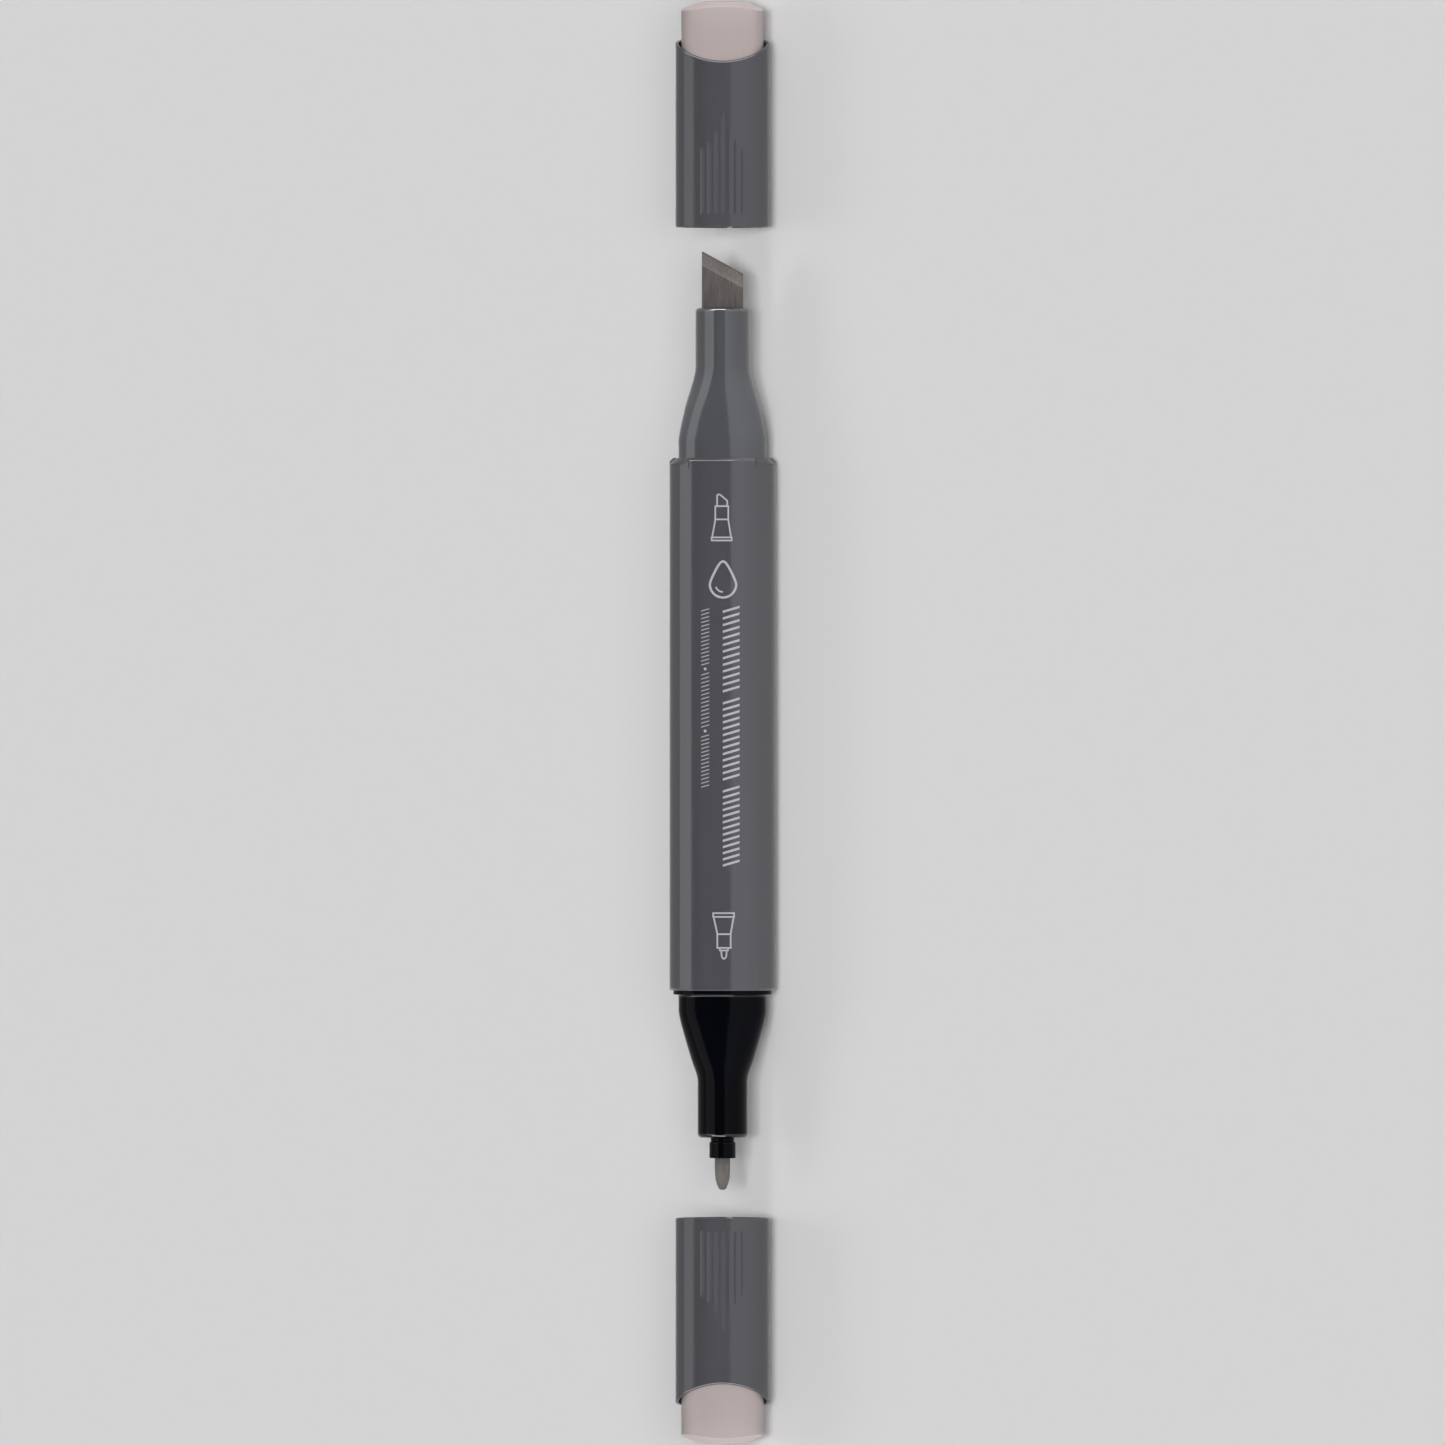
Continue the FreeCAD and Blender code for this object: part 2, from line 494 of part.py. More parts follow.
# --------------------------------------------------------------------- caps
def cap(name, sign, seal_bore):
    """One cap: printed shell, colour plug and inner seal, along sign * Y."""
    up = sign > 0
    mouth = D("cap_mouth")

    def y(distance):
        return sign * (mouth + distance)

    tube = new_body(name + "_tube")
    s = triangle_sketch(tube, name + "_outline", y(0), D("shell_half_width"), D("shell_corner"))
    extrude(tube, "Pad", name + "_blank", s, D("cap_length"), up)
    s = triangle_sketch(tube, name + "_inside", y(0), D("shell_half_width") - D("shell_wall"),
                        D("shell_corner") - D("shell_wall"))
    extrude(tube, "Pocket", name + "_hollow", s, D("cap_length"), up)

    # grip ribs, longest in the middle, on each of the three faces
    hw, rc = D("shell_half_width").value, D("shell_corner").value
    rho, face, back = section(hw, rc)
    ribs = []
    for f in (30, 150, 270):
        n = V(math.cos(math.radians(f)), 0, math.sin(math.radians(f)))
        u = V(n.z, 0, -n.x)
        for k in range(-3, 4):
            end = D(("rib_long", "rib_mid", "rib_short", "rib_outer")[abs(k)])
            rib = doc.addObject("Part::Box", "%s_rib_%d_%d" % (name, f, k + 3))
            offset = k * D("rib_pitch").value
            surface = -back + math.sqrt(face ** 2 - offset ** 2)
            rib.Length = D("rib_width").value
            rib.setExpression("Length", D("rib_width").text)
            rib.Width = (end - D("rib_start")).value
            rib.setExpression("Width", (end - D("rib_start")).text)
            depth = 0.2
            rib.Height = depth + D("rib_height").value
            rib.setExpression("Height", (D("rib_height") + depth).text)
            low = y(D("rib_start")).value if up else y(end).value
            corner = V(0, low, AXIS_HEIGHT.value) + u * (offset - D("rib_width").value / 2) + n * (surface - depth)
            rib.Placement = FreeCAD.Placement(corner, FreeCAD.Rotation(u, V(0, 1, 0), n, "ZXY"))
            ribs.append(rib)
    ribbed = doc.addObject("Part::MultiFuse", name + "_ribbed")
    ribbed.Shapes = [tube] + ribs
    ribbed.Refine = True

    # the closed end is scooped by a cylinder that leans back from the front face
    front = V(math.cos(math.radians(30)), 0, math.sin(math.radians(30)))
    reach = hw * 0.7489182 + rc * 0.2510818
    run = (V(0, sign * D("scoop_slope").value, 0) - front)
    run.normalize()
    lift = D("scoop_radius").value * math.sqrt(1 + D("scoop_slope").value ** 2)
    on_front = V(0, y(D("scoop_low")).value + sign * lift, AXIS_HEIGHT.value) + front * reach
    scoop = doc.addObject("Part::Cylinder", name + "_scoop")
    scoop.Radius = D("scoop_radius").value
    scoop.setExpression("Radius", D("scoop_radius").text)
    scoop.Height = 60
    scoop.Placement = FreeCAD.Placement(on_front - run * 30, FreeCAD.Rotation(V(0, 0, 1), run))
    shell = doc.addObject("Part::Cut", name + "_shell")
    shell.Base = ribbed
    shell.Tool = scoop
    shell.Label = name + "_shell"

    # colour plug: wide skirt gripped by the shell, narrower end that shows
    blank = new_body(name + "_plug_blank")
    s = triangle_sketch(blank, name + "_plug_skirt_outline", y(D("plug_skirt_start")),
                        D("shell_half_width") - D("shell_wall"), D("shell_corner") - D("shell_wall"))
    extrude(blank, "Pad", name + "_plug_skirt", s, D("plug_skirt_end") - D("plug_skirt_start"), up)
    s = triangle_sketch(blank, name + "_plug_end_outline", y(D("plug_skirt_end")), D("plug_half_width"),
                        D("plug_corner"))
    extrude(blank, "Pad", name + "_plug_end", s, D("cap_length") - D("plug_skirt_end"), up)
    s = circle_sketch(blank, name + "_plug_bore_outline", y(D("plug_skirt_start")), D("seal_radius"))
    extrude(blank, "Pocket", name + "_plug_bore", s,
            D("cap_length") - D("plug_wall") - D("plug_skirt_start"), up)
    rim = 8.0
    dome = profile_body(name + "_plug_dome", [
        (y(D("plug_skirt_start") - 1), 0), (y(D("plug_skirt_start") - 1), rim),
        (y(D("cap_length") - D("plug_slope") * (rim - D("plug_flat"))), rim),
        (y(D("cap_length")), D("plug_flat")), (y(D("cap_length")), 0)])
    plug = doc.addObject("Part::MultiCommon", name + "_plug")
    plug.Shapes = [blank, dome]
    plug.Label = name + "_plug"

    # inner seal: a round cup pressed into the plug, with a sealing band
    lead = 0.5
    seal = profile_body(name + "_inner_seal", [
        (y(D("seal_start")), seal_bore + lead * 0.6), (y(D("seal_start")), D("seal_radius")),
        (y(D("cap_length") - D("plug_wall")), D("seal_radius")), (y(D("cap_length") - D("plug_wall")), 0),
        (y(D("seal_floor")), 0), (y(D("seal_floor")), D("seal_relief")),
        (y(D("seal_start") + D("seal_lip_length") + 0.4), D("seal_relief")),
        (y(D("seal_start") + D("seal_lip_length")), seal_bore), (y(D("seal_start") + lead), seal_bore)])
    return shell, plug, seal


chisel_cap = cap("chisel_cap", 1, D("chisel_seal_bore"))
bullet_cap = cap("bullet_cap", -1, D("bullet_seal_bore"))

doc.recompute()

NODES = [barrel, chisel_neck, bullet_neck, core, film, chisel_nib, bullet_nib, collar, *chisel_cap, *bullet_cap]
for o in doc.Objects:
    for state in ("Invalid", "Error"):
        if state in o.State:
            raise RuntimeError("%s is %s" % (o.Label, state))
os.makedirs("parts", exist_ok=True)
for o in NODES:
    shape = o.Shape
    if shape.isNull() or not shape.isValid() or not shape.Solids:
        raise RuntimeError("%s has no valid shape" % o.Label)
    box = shape.optimalBoundingBox(False)
    print("%-22s solids %d  volume %9.2f mm3  X %.3f %.3f  Y %.3f %.3f  Z %.3f %.3f" % (
        o.Label, len(shape.Solids), shape.Volume, box.XMin, box.XMax, box.YMin, box.YMax, box.ZMin, box.ZMax))
for o in NODES:
    o.Shape.exportStep(os.path.join("parts", o.Label + ".step"))
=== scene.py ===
import json
import math

import bmesh
import bpy
import numpy as np
from mathutils import Matrix, Vector, noise

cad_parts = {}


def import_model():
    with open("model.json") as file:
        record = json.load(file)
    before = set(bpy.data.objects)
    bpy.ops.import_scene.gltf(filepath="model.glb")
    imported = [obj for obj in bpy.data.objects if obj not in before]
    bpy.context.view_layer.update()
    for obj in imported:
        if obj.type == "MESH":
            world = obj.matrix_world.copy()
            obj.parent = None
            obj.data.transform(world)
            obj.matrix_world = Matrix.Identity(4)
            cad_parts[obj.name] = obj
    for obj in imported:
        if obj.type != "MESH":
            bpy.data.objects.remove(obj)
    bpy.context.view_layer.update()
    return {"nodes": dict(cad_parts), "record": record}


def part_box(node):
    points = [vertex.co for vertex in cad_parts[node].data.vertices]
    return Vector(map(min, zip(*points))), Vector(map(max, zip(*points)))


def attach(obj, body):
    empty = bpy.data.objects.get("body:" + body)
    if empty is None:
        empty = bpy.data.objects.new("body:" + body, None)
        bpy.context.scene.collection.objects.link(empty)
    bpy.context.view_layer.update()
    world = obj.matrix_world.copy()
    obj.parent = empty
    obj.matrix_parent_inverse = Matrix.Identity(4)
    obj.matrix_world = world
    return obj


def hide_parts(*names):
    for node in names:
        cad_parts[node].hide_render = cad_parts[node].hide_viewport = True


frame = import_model()
scene = bpy.context.scene
scene.view_settings.view_transform = "Standard"
scene.view_settings.look = "None"
scene.view_settings.exposure = 0.0
scene.view_settings.gamma = 1.0

MM = 0.001

# ------------------------------------------------------------------ the frame
mounts = {m["name"]: m for m in frame["record"]["mounts"]}
AXIS_Z = mounts["chisel_cap_end"]["pos_m"][2] / MM
END_Y = mounts["chisel_cap_end"]["pos_m"][1] / MM


def span(node):
    lo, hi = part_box(node)
    return lo.y / MM, hi.y / MM


BARREL_LO, BARREL_HI = span("barrel")
CHISEL_LIP = span("chisel_neck")[1]
BULLET_LIP = span("bullet_neck")[0]
CHISEL_TIP = span("chisel_nib")[1]
BULLET_TIP = span("bullet_nib")[0]
COLLAR_END = span("bullet_nib_collar")[0]
CAP_MOUTH = span("chisel_cap_shell")[0]
CAP_LENGTH = END_Y - CAP_MOUTH

# u runs across the printed face, v out of it, y along the marker
U = np.array([math.cos(math.radians(-60)), 0.0, math.sin(math.radians(-60))])
W = np.array([math.cos(math.radians(30)), 0.0, math.sin(math.radians(30))])
Y = np.array([0.0, 1.0, 0.0])
ORIGIN = np.array([0.0, 0.0, AXIS_Z])


def world(u, v, y):
    """Millimetres in the marker's own directions to millimetres in the frame."""
    return ORIGIN + u * U + v * W + y * Y


# ------------------------------------------------- the soft triangle section
PHI = math.asin(1 / 3)
CORNER_HALF = math.radians(60) - PHI


def section_point(hw, rc, kind, k, a):
    """A point (x, z) of the section, a being the angle from its arc's middle."""
    if kind == "corner":
        c = math.radians(90 + 120 * k)
        rho = (hw - rc) / math.cos(math.radians(30))
        return (rho * math.cos(c) + rc * math.cos(c + a), rho * math.sin(c) + rc * math.sin(c + a))
    f = math.radians(150 + 120 * k)
    face = 3 * hw - 2 * rc
    back = face - (0.7489182 * hw + 0.2510818 * rc)
    return (-back * math.cos(f) + face * math.cos(f + a), -back * math.sin(f) + face * math.sin(f + a))


def section_keys(n_corner, n_face):
    keys = []
    for k in range(3):
        for i in range(n_corner):
            keys.append(("corner", k, -CORNER_HALF + 2 * CORNER_HALF * i / n_corner))
        for i in range(n_face):
            keys.append(("face", k, -PHI + 2 * PHI * i / n_face))
    return keys


KEYS = section_keys(26, 30)


def ring(y, hw, rc=None, keys=KEYS):
    """One ring of the section (a circle when rc is left out), in mm."""
    rc = hw if rc is None else rc
    pts = []
    for kind, k, a in keys:
        x, z = section_point(hw, rc, kind, k, a)
        pts.append((x, y, AXIS_Z + z))
    return np.array(pts)


# ------------------------------------------------------------- mesh building
def mesh_object(name, verts, faces, body, material, node=None, slot=None, smooth=True, weighted=True):
    me = bpy.data.meshes.new(name)
    me.from_pydata([tuple(np.array(v) * MM) for v in verts], [], [tuple(f) for f in faces])
    bm = bmesh.new()
    bm.from_mesh(me)
    bmesh.ops.remove_doubles(bm, verts=bm.verts, dist=1e-8)
    bmesh.ops.recalc_face_normals(bm, faces=bm.faces)
    bm.to_mesh(me)
    bm.free()
    for p in me.polygons:
        p.use_smooth = smooth
    if smooth:
        me.set_sharp_from_angle(angle=math.radians(42))
    me.materials.append(material)
    ob = bpy.data.objects.new(name, me)
    scene.collection.objects.link(ob)
    if weighted:
        mod = ob.modifiers.new("face_weighted_normals", "WEIGHTED_NORMAL")
        mod.mode = "FACE_AREA"
        mod.weight = 50
        mod.keep_sharp = True
    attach(ob, body)
    if node:
        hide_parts(node)
    return ob


def second_material(ob, material, *spans, corners=None):
    """Gives the faces whose middles lie in the spans of y (mm) their own material.

    corners, in degrees, keeps it to that far either side of the three corners.
    """
    ob.data.materials.append(material)
    for p in ob.data.polygons:
        turn = math.degrees(math.atan2(p.center.z - AXIS_Z * MM, p.center.x)) - 90
        if corners is not None and abs((turn + 60) % 120 - 60) > corners:
            continue
        if any(lo * MM < p.center.y < hi * MM for lo, hi in spans):
            p.material_index = len(ob.data.materials) - 1


def loft(rings, closed=False, cap_start=False, cap_end=False):
    """Faces over a stack of equal rings; closed joins the last to the first."""
    n = len(rings[0])
    verts = [p for r in rings for p in r]
    faces = []
    m = len(rings)
    for i in range(m if closed else m - 1):
        j = (i + 1) % m
        for a in range(n):
            b = (a + 1) % n
            faces.append((i * n + a, i * n + b, j * n + b, j * n + a))
    for flag, i in ((cap_start, 0), (cap_end, m - 1)):
        if flag:
            centre = np.mean(rings[i], axis=0)
            verts.append(centre)
            c = len(verts) - 1
            for a in range(n):
                faces.append((i * n + a, i * n + (a + 1) % n, c))
    return verts, faces


def rounded(profile, seg=4):
    """Rounds the corners of an open profile of (y, r, radius) points.

    Each rounded corner gets an arc; a point with radius 0 stays sharp.
    """
    out = []
    pts = [np.array(p[:2], float) for p in profile]
    for i, p in enumerate(profile):
        r = p[2] if len(p) > 2 else 0.0
        if r <= 0 or i == 0 or i == len(profile) - 1:
            out.append(tuple(pts[i]))
            continue
        a, b, c = pts[i - 1], pts[i], pts[i + 1]
        d0, d1 = a - b, c - b
        l0, l1 = np.linalg.norm(d0), np.linalg.norm(d1)
        d0, d1 = d0 / l0, d1 / l1
        cosang = float(np.clip(np.dot(d0, d1), -1, 1))
        half = math.acos(cosang) / 2
        t = r / math.tan(half)
        t = min(t, 0.49 * l0, 0.49 * l1)
        rr = t * math.tan(half)
        centre = b + (d0 + d1) / np.linalg.norm(d0 + d1) * (rr / math.sin(half))
        s, e = b + d0 * t - centre, b + d1 * t - centre
        a0, a1 = math.atan2(s[1], s[0]), math.atan2(e[1], e[0])
        while a1 - a0 > math.pi:
            a1 -= 2 * math.pi
        while a1 - a0 < -math.pi:
            a1 += 2 * math.pi
        for k in range(seg + 1):
            q = a0 + (a1 - a0) * k / seg
            out.append((centre[0] + rr * math.cos(q), centre[1] + rr * math.sin(q)))
    return out


def smooth_curve(xs, ys, x):
    """Monotone cubic through a table, for the flares."""
    xs, ys = np.array(xs, float), np.array(ys, float)
    h, d = np.diff(xs), np.diff(ys) / np.diff(xs)
    m = np.zeros(len(xs))
    m[0], m[-1] = 0.0, 0.0
    for i in range(1, len(xs) - 1):
        if d[i - 1] * d[i] > 0:
            w1, w2 = 2 * h[i] + h[i - 1], h[i] + 2 * h[i - 1]
            m[i] = (w1 + w2) / (w1 / d[i - 1] + w2 / d[i])
    i = int(np.clip(np.searchsorted(xs, x) - 1, 0, len(h) - 1))
    t = (x - xs[i]) / h[i]
    t2, t3 = t * t, t * t * t
    return float((2 * t3 - 3 * t2 + 1) * ys[i] + (t3 - 2 * t2 + t) * h[i] * m[i]
                 + (-2 * t3 + 3 * t2) * ys[i + 1] + (t3 - t2) * h[i] * m[i + 1])


def fair_curve(xs, ys):
    """The table's curve with its small waves averaged out, flat at both ends."""
    n, sigma = 400, 11.0
    fine = np.array([smooth_curve(xs, ys, t) for t in np.linspace(0.0, 1.0, n + 1)])
    pad = int(4 * sigma)
    line = np.concatenate([np.full(pad, fine[0]), fine, np.full(pad, fine[-1])])
    k = np.exp(-0.5 * (np.arange(-pad, pad + 1) / sigma) ** 2)
    line = np.convolve(line, k / k.sum(), mode="valid")
    return lambda t: float(np.interp(t, np.linspace(0.0, 1.0, n + 1), line))


# ------------------------------------------------------------------ materials
def nodes_of(name):
    mat = bpy.data.materials.new(name)
    mat.use_nodes = True
    nt = mat.node_tree
    bsdf = nt.nodes["Principled BSDF"]
    return mat, nt, bsdf


def add(nt, kind, **values):
    n = nt.nodes.new(kind)
    for k, v in values.items():
        setattr(n, k, v)
    return n


def texture_space(nt, scale=(1, 1, 1)):
    tc = add(nt, "ShaderNodeTexCoord")
    mp = add(nt, "ShaderNodeMapping")
    mp.inputs["Scale"].default_value = scale
    nt.links.new(tc.outputs["Object"], mp.inputs["Vector"])
    return mp.outputs["Vector"]


def noise_tex(nt, vector, scale, detail=3.0, rough=0.5):
    n = add(nt, "ShaderNodeTexNoise")
    n.inputs["Scale"].default_value = scale
    n.inputs["Detail"].default_value = detail
    n.inputs["Roughness"].default_value = rough
    nt.links.new(vector, n.inputs["Vector"])
    return n.outputs["Fac"]


def mapped(nt, value, lo, hi, in_lo=0.3, in_hi=0.7):
    m = add(nt, "ShaderNodeMapRange")
    m.inputs["From Min"].default_value = in_lo
    m.inputs["From Max"].default_value = in_hi
    m.inputs["To Min"].default_value = lo
    m.inputs["To Max"].default_value = hi
    nt.links.new(value, m.inputs["Value"])
    return m.outputs["Result"]


def ramp(nt, value, stops):
    r = add(nt, "ShaderNodeValToRGB")
    els = r.color_ramp.elements
    while len(els) < len(stops):
        els.new(0.5)
    for e, (pos, col) in zip(els, stops):
        e.position = pos
        e.color = (*col, 1.0)
    nt.links.new(value, r.inputs["Fac"])
    return r.outputs["Color"]


def bump(nt, height, strength, distance, normal=None):
    b = add(nt, "ShaderNodeBump")
    b.inputs["Strength"].default_value = strength
    b.inputs["Distance"].default_value = distance
    nt.links.new(height, b.inputs["Height"])
    if normal is not None:
        nt.links.new(normal, b.inputs["Normal"])
    return b.outputs["Normal"]


def moulded(name, dark, light, rough_lo, rough_hi, grain=0.05, ior=1.5, specular=0.5):
    """Injection-moulded plastic: faint flow marks, fine grain, handled gloss."""
    mat, nt, bsdf = nodes_of(name)
    flow = noise_tex(nt, texture_space(nt, (260, 24, 260)), 1.0, 4.0, 0.55)
    fine = noise_tex(nt, texture_space(nt), 9000.0, 2.0, 0.5)
    wide_patch = noise_tex(nt, texture_space(nt), 120.0, 3.0, 0.6)
    nt.links.new(ramp(nt, flow, [(0.3, dark), (0.7, light)]), bsdf.inputs["Base Color"])
    nt.links.new(mapped(nt, wide_patch, rough_lo, rough_hi), bsdf.inputs["Roughness"])
    nt.links.new(bump(nt, fine, grain, 0.00002), bsdf.inputs["Normal"])
    bsdf.inputs["IOR"].default_value = ior
    bsdf.inputs["Specular IOR Level"].default_value = specular
    return mat


BARREL_MAT = moulded("barrel_plastic", (0.0495, 0.0478, 0.0548), (0.0532, 0.0515, 0.0590), 0.08, 0.12, ior=1.7)
SHOULDER_MAT = moulded("barrel_shoulder_satin", (0.0495, 0.0478, 0.0548), (0.0532, 0.0515, 0.0590), 0.16, 0.22,
                       specular=0.16)
EDGE_MAT = moulded("barrel_polished_edge", (0.0495, 0.0478, 0.0548), (0.0532, 0.0515, 0.0590), 0.08, 0.12, ior=1.7,
                   specular=0.85)
LIP_MAT = moulded("neck_polished_edge", (0.0575, 0.0593, 0.0660), (0.0608, 0.0627, 0.0698), 0.09, 0.13, ior=1.75,
                  specular=0.95)
CAP_MAT = moulded("cap_plastic", (0.0495, 0.0478, 0.0548), (0.0523, 0.0507, 0.0580), 0.09, 0.14, ior=1.58)
NECK_MAT = moulded("neck_plastic", (0.0575, 0.0593, 0.0660), (0.0608, 0.0627, 0.0698), 0.09, 0.13, ior=1.75)
BLACK_MAT = moulded("black_plastic", (0.0007, 0.0009, 0.0020), (0.0011, 0.0013, 0.0026), 0.07, 0.11, specular=0.09)
BLACK_EDGE_MAT = moulded("black_polished_edge", (0.0007, 0.0009, 0.0020), (0.0011, 0.0013, 0.0026), 0.10, 0.14,
                         specular=0.42)
BLACK_LIP_MAT = moulded("black_polished_lip", (0.0007, 0.0009, 0.0020), (0.0011, 0.0013, 0.0026), 0.08, 0.12,
                        specular=0.75)
PLUG_MAT = moulded("plug_plastic", (0.341, 0.291, 0.287), (0.362, 0.309, 0.304), 0.42, 0.52, grain=0.08)
SEAL_MAT = moulded("seal_plastic", (0.52, 0.51, 0.48), (0.58, 0.57, 0.54), 0.45, 0.55, grain=0.1)


def fibre(name, dark, light, along=None, zones=None):
    """Bonded fibre: streaks along the nib, darker where the ink pools.

    zones tints the fibre by how far a point lies along the given direction,
    as (millimetres, tint) pairs: it paints light over the chisel's cut faces, with a brighter painted highlight along
    their lower crease, and makes the fibre darker towards the foot.
    """
    mat, nt, bsdf = nodes_of(name)
    streak = noise_tex(nt, texture_space(nt, (5200, 260, 5200)), 1.0, 4.0, 0.65)
    blotch = noise_tex(nt, texture_space(nt, (700, 350, 700)), 1.0, 3.0, 0.6)
    speck = noise_tex(nt, texture_space(nt), 14000.0, 2.0, 0.6)
    colour = ramp(nt, streak, [(0.30, dark), (0.72, light)])
    tints = [ramp(nt, blotch, [(0.3, (0.86, 0.85, 0.85)), (0.7, (1.10, 1.10, 1.10))])]
    if zones:
        tc = add(nt, "ShaderNodeTexCoord")
        dot = add(nt, "ShaderNodeVectorMath", operation="DOT_PRODUCT")
        dot.inputs[1].default_value = tuple(along)
        nt.links.new(tc.outputs["Object"], dot.inputs[0])
        lo, hi = zones[0][0], zones[-1][0]
        place = mapped(nt, dot.outputs["Value"], 0.0, 1.0, lo * MM, hi * MM)
        tints.append(ramp(nt, place, [((z - lo) / (hi - lo), (t / 2.5, t / 2.5, t / 2.5)) for z, t in zones]))
        tints.append(None)
    for t in tints:
        mix = add(nt, "ShaderNodeMixRGB", blend_type="MULTIPLY")
        mix.inputs["Fac"].default_value = 1.0
        nt.links.new(colour, mix.inputs["Color1"])
        if t is None:
            mix.inputs["Color2"].default_value = (2.5, 2.5, 2.5, 1.0)
        else:
            nt.links.new(t, mix.inputs["Color2"])
        colour = mix.outputs["Color"]
    nt.links.new(colour, bsdf.inputs["Base Color"])
    nt.links.new(mapped(nt, speck, 0.78, 0.95), bsdf.inputs["Roughness"])
    n1 = bump(nt, streak, 0.55, 0.00004)
    nt.links.new(bump(nt, speck, 0.3, 0.00002, n1), bsdf.inputs["Normal"])
    bsdf.inputs["Sheen Weight"].default_value = 0.15
    bsdf.inputs["Sheen Roughness"].default_value = 0.6
    return mat


CUT = -3.4 / 6.24  # how the chisel's end falls across its width
CUT_WAY = (-CUT * U[0], 1.0, -CUT * U[2])
CUT_AT = CHISEL_TIP + CUT * 3.12 - CUT * U[2] * AXIS_Z
# chisel nib: darker towards the foot, painted light over the cut faces with a brighter painted highlight in a band
# along their lower crease, and the plain tint again at the ridge
NIB_PAINTED_LIGHT_MAT = fibre("chisel_nib_fibre", (0.060, 0.054, 0.051), (0.112, 0.102, 0.097), CUT_WAY,
                [(CUT_AT - 9.5, 0.70), (CUT_AT - 6.6, 0.86), (CUT_AT - 3.0, 1.04), (CUT_AT - 2.25, 1.08),
                 (CUT_AT - 2.12, 2.08), (CUT_AT - 1.80, 2.08), (CUT_AT - 1.55, 1.94), (CUT_AT - 0.35, 1.90),
                 (CUT_AT, 1.0)])
# bullet nib: darker towards the collar, lighter towards the tip
BULLET_MAT = fibre("bullet_nib_fibre", (0.098, 0.090, 0.084), (0.164, 0.151, 0.142), (0.0, -1.0, 0.0),
                   [(-COLLAR_END - 0.6, 0.50), (-COLLAR_END + 0.1, 0.62), (-COLLAR_END + 1.2, 0.88),
                    (-COLLAR_END + 3.0, 1.15), (-BULLET_TIP, 1.12)])
CORE_MAT = fibre("core_fibre", (0.16, 0.15, 0.145), (0.34, 0.32, 0.31))
FILM_MAT = moulded("core_film", (0.66, 0.66, 0.65), (0.72, 0.72, 0.71), 0.25, 0.35)


def printed(name):
    mat, nt, bsdf = nodes_of(name)
    patchy = noise_tex(nt, texture_space(nt), 3000.0, 3.0, 0.6)
    nt.links.new(ramp(nt, patchy, [(0.3, (0.30, 0.305, 0.323)), (0.7, (0.355, 0.36, 0.378))]),
                 bsdf.inputs["Base Color"])
    nt.links.new(mapped(nt, patchy, 0.28, 0.4), bsdf.inputs["Roughness"])
    return mat


PRINT_MAT = printed("print_ink")

# --------------------------------------------------------------------- barrel
HW, RC = 8.035, 4.586
BORE = 6.0


def cornerness(kind, k, a):
    """0 over the faces, rising to 1 well inside each rounded corner."""
    if kind != "corner":
        return 0.0
    t = min(1.0, (CORNER_HALF - abs(a)) / math.radians(18))
    return t * t * (3 - 2 * t)


def barrel_edge(y_end, sign, face_cut, corner_cut, corner_wide, fillet, top_fillet):
    """Rows of a chamfer that cuts deeper on the corners than on the faces.

    Every row is a list of points, from the wall to the end's flat ring.
    """
    columns = []
    for key in KEYS:
        cut = face_cut + (corner_cut - face_cut) * cornerness(*key)
        wide = face_cut + (corner_wide - face_cut) * cornerness(*key)
        prof = rounded([(y_end - sign * 3.0, 0.0), (y_end - sign * cut, 0.0, fillet),
                        (y_end, wide, top_fillet), (y_end, 1.385)], 6)
        column = []
        for y, w in prof[1:]:
            x, z = section_point(HW - w, RC - w, *key)
            column.append((x, y, AXIS_Z + z))
        columns.append(column)
    return [np.array([c[i] for c in columns]) for i in range(len(columns[0]))]


lower = barrel_edge(BARREL_LO, -1, 0.05, 0.38, 0.38, 0.05, 0.03)
upper = barrel_edge(BARREL_HI, 1, 0.44, 0.94, 1.12, 0.17, 0.08)
rings = [ring(BARREL_LO, BORE)] + lower[::-1]
for y in np.linspace(BARREL_LO + 0.8, BARREL_HI - 1.6, 20):
    rings.append(ring(y, HW, RC))
rings += upper + [ring(BARREL_HI, BORE), ring(BARREL_HI - 1.0, BORE), ring(BARREL_LO + 1.0, BORE)]
barrel = mesh_object("barrel_moulding", *loft(rings, closed=True), "marker", BARREL_MAT, "barrel", "barrel_grey")
second_material(barrel, EDGE_MAT, (BARREL_HI - 0.62, BARREL_HI - 0.004))
second_material(barrel, SHOULDER_MAT, (BARREL_HI - 1.1, BARREL_HI - 0.004), corners=21)

# ---------------------------------------------------------------------- necks
BASE_HW, BASE_RC = 6.66, 3.314


def neck_rings(sign, start, base_end, flare_end, radius, lip, table, lip_round, extra):
    """Outer rings of a neck from its seat to its lip, distances from the middle."""
    out = []
    ts = [r[0] for r in table]
    ws = [r[1] for r in table]
    qs = [r[2] for r in table]
    ratio = BASE_RC / BASE_HW
    width, roundness = fair_curve(ts, ws), fair_curve(ts, qs)
    for y, w in extra:
        out.append(ring(sign * y, BASE_HW + w, BASE_RC + w))
    for y in np.linspace(start + 0.35, base_end, 5):
        out.append(ring(sign * y, BASE_HW, BASE_RC))
    for t in np.linspace(0, 1, 61)[1:]:
        w = BASE_HW + (radius - BASE_HW) * width(t)
        share = ratio + (1 - ratio) * roundness(t)
        out.append(ring(sign * (base_end + (flare_end - base_end) * t), w, w * share))
    for y, r in rounded([(flare_end, radius), (lip, radius, lip_round), (lip, radius - 1.2)], 8)[1:]:
        out.append(ring(sign * y, r))
    return out


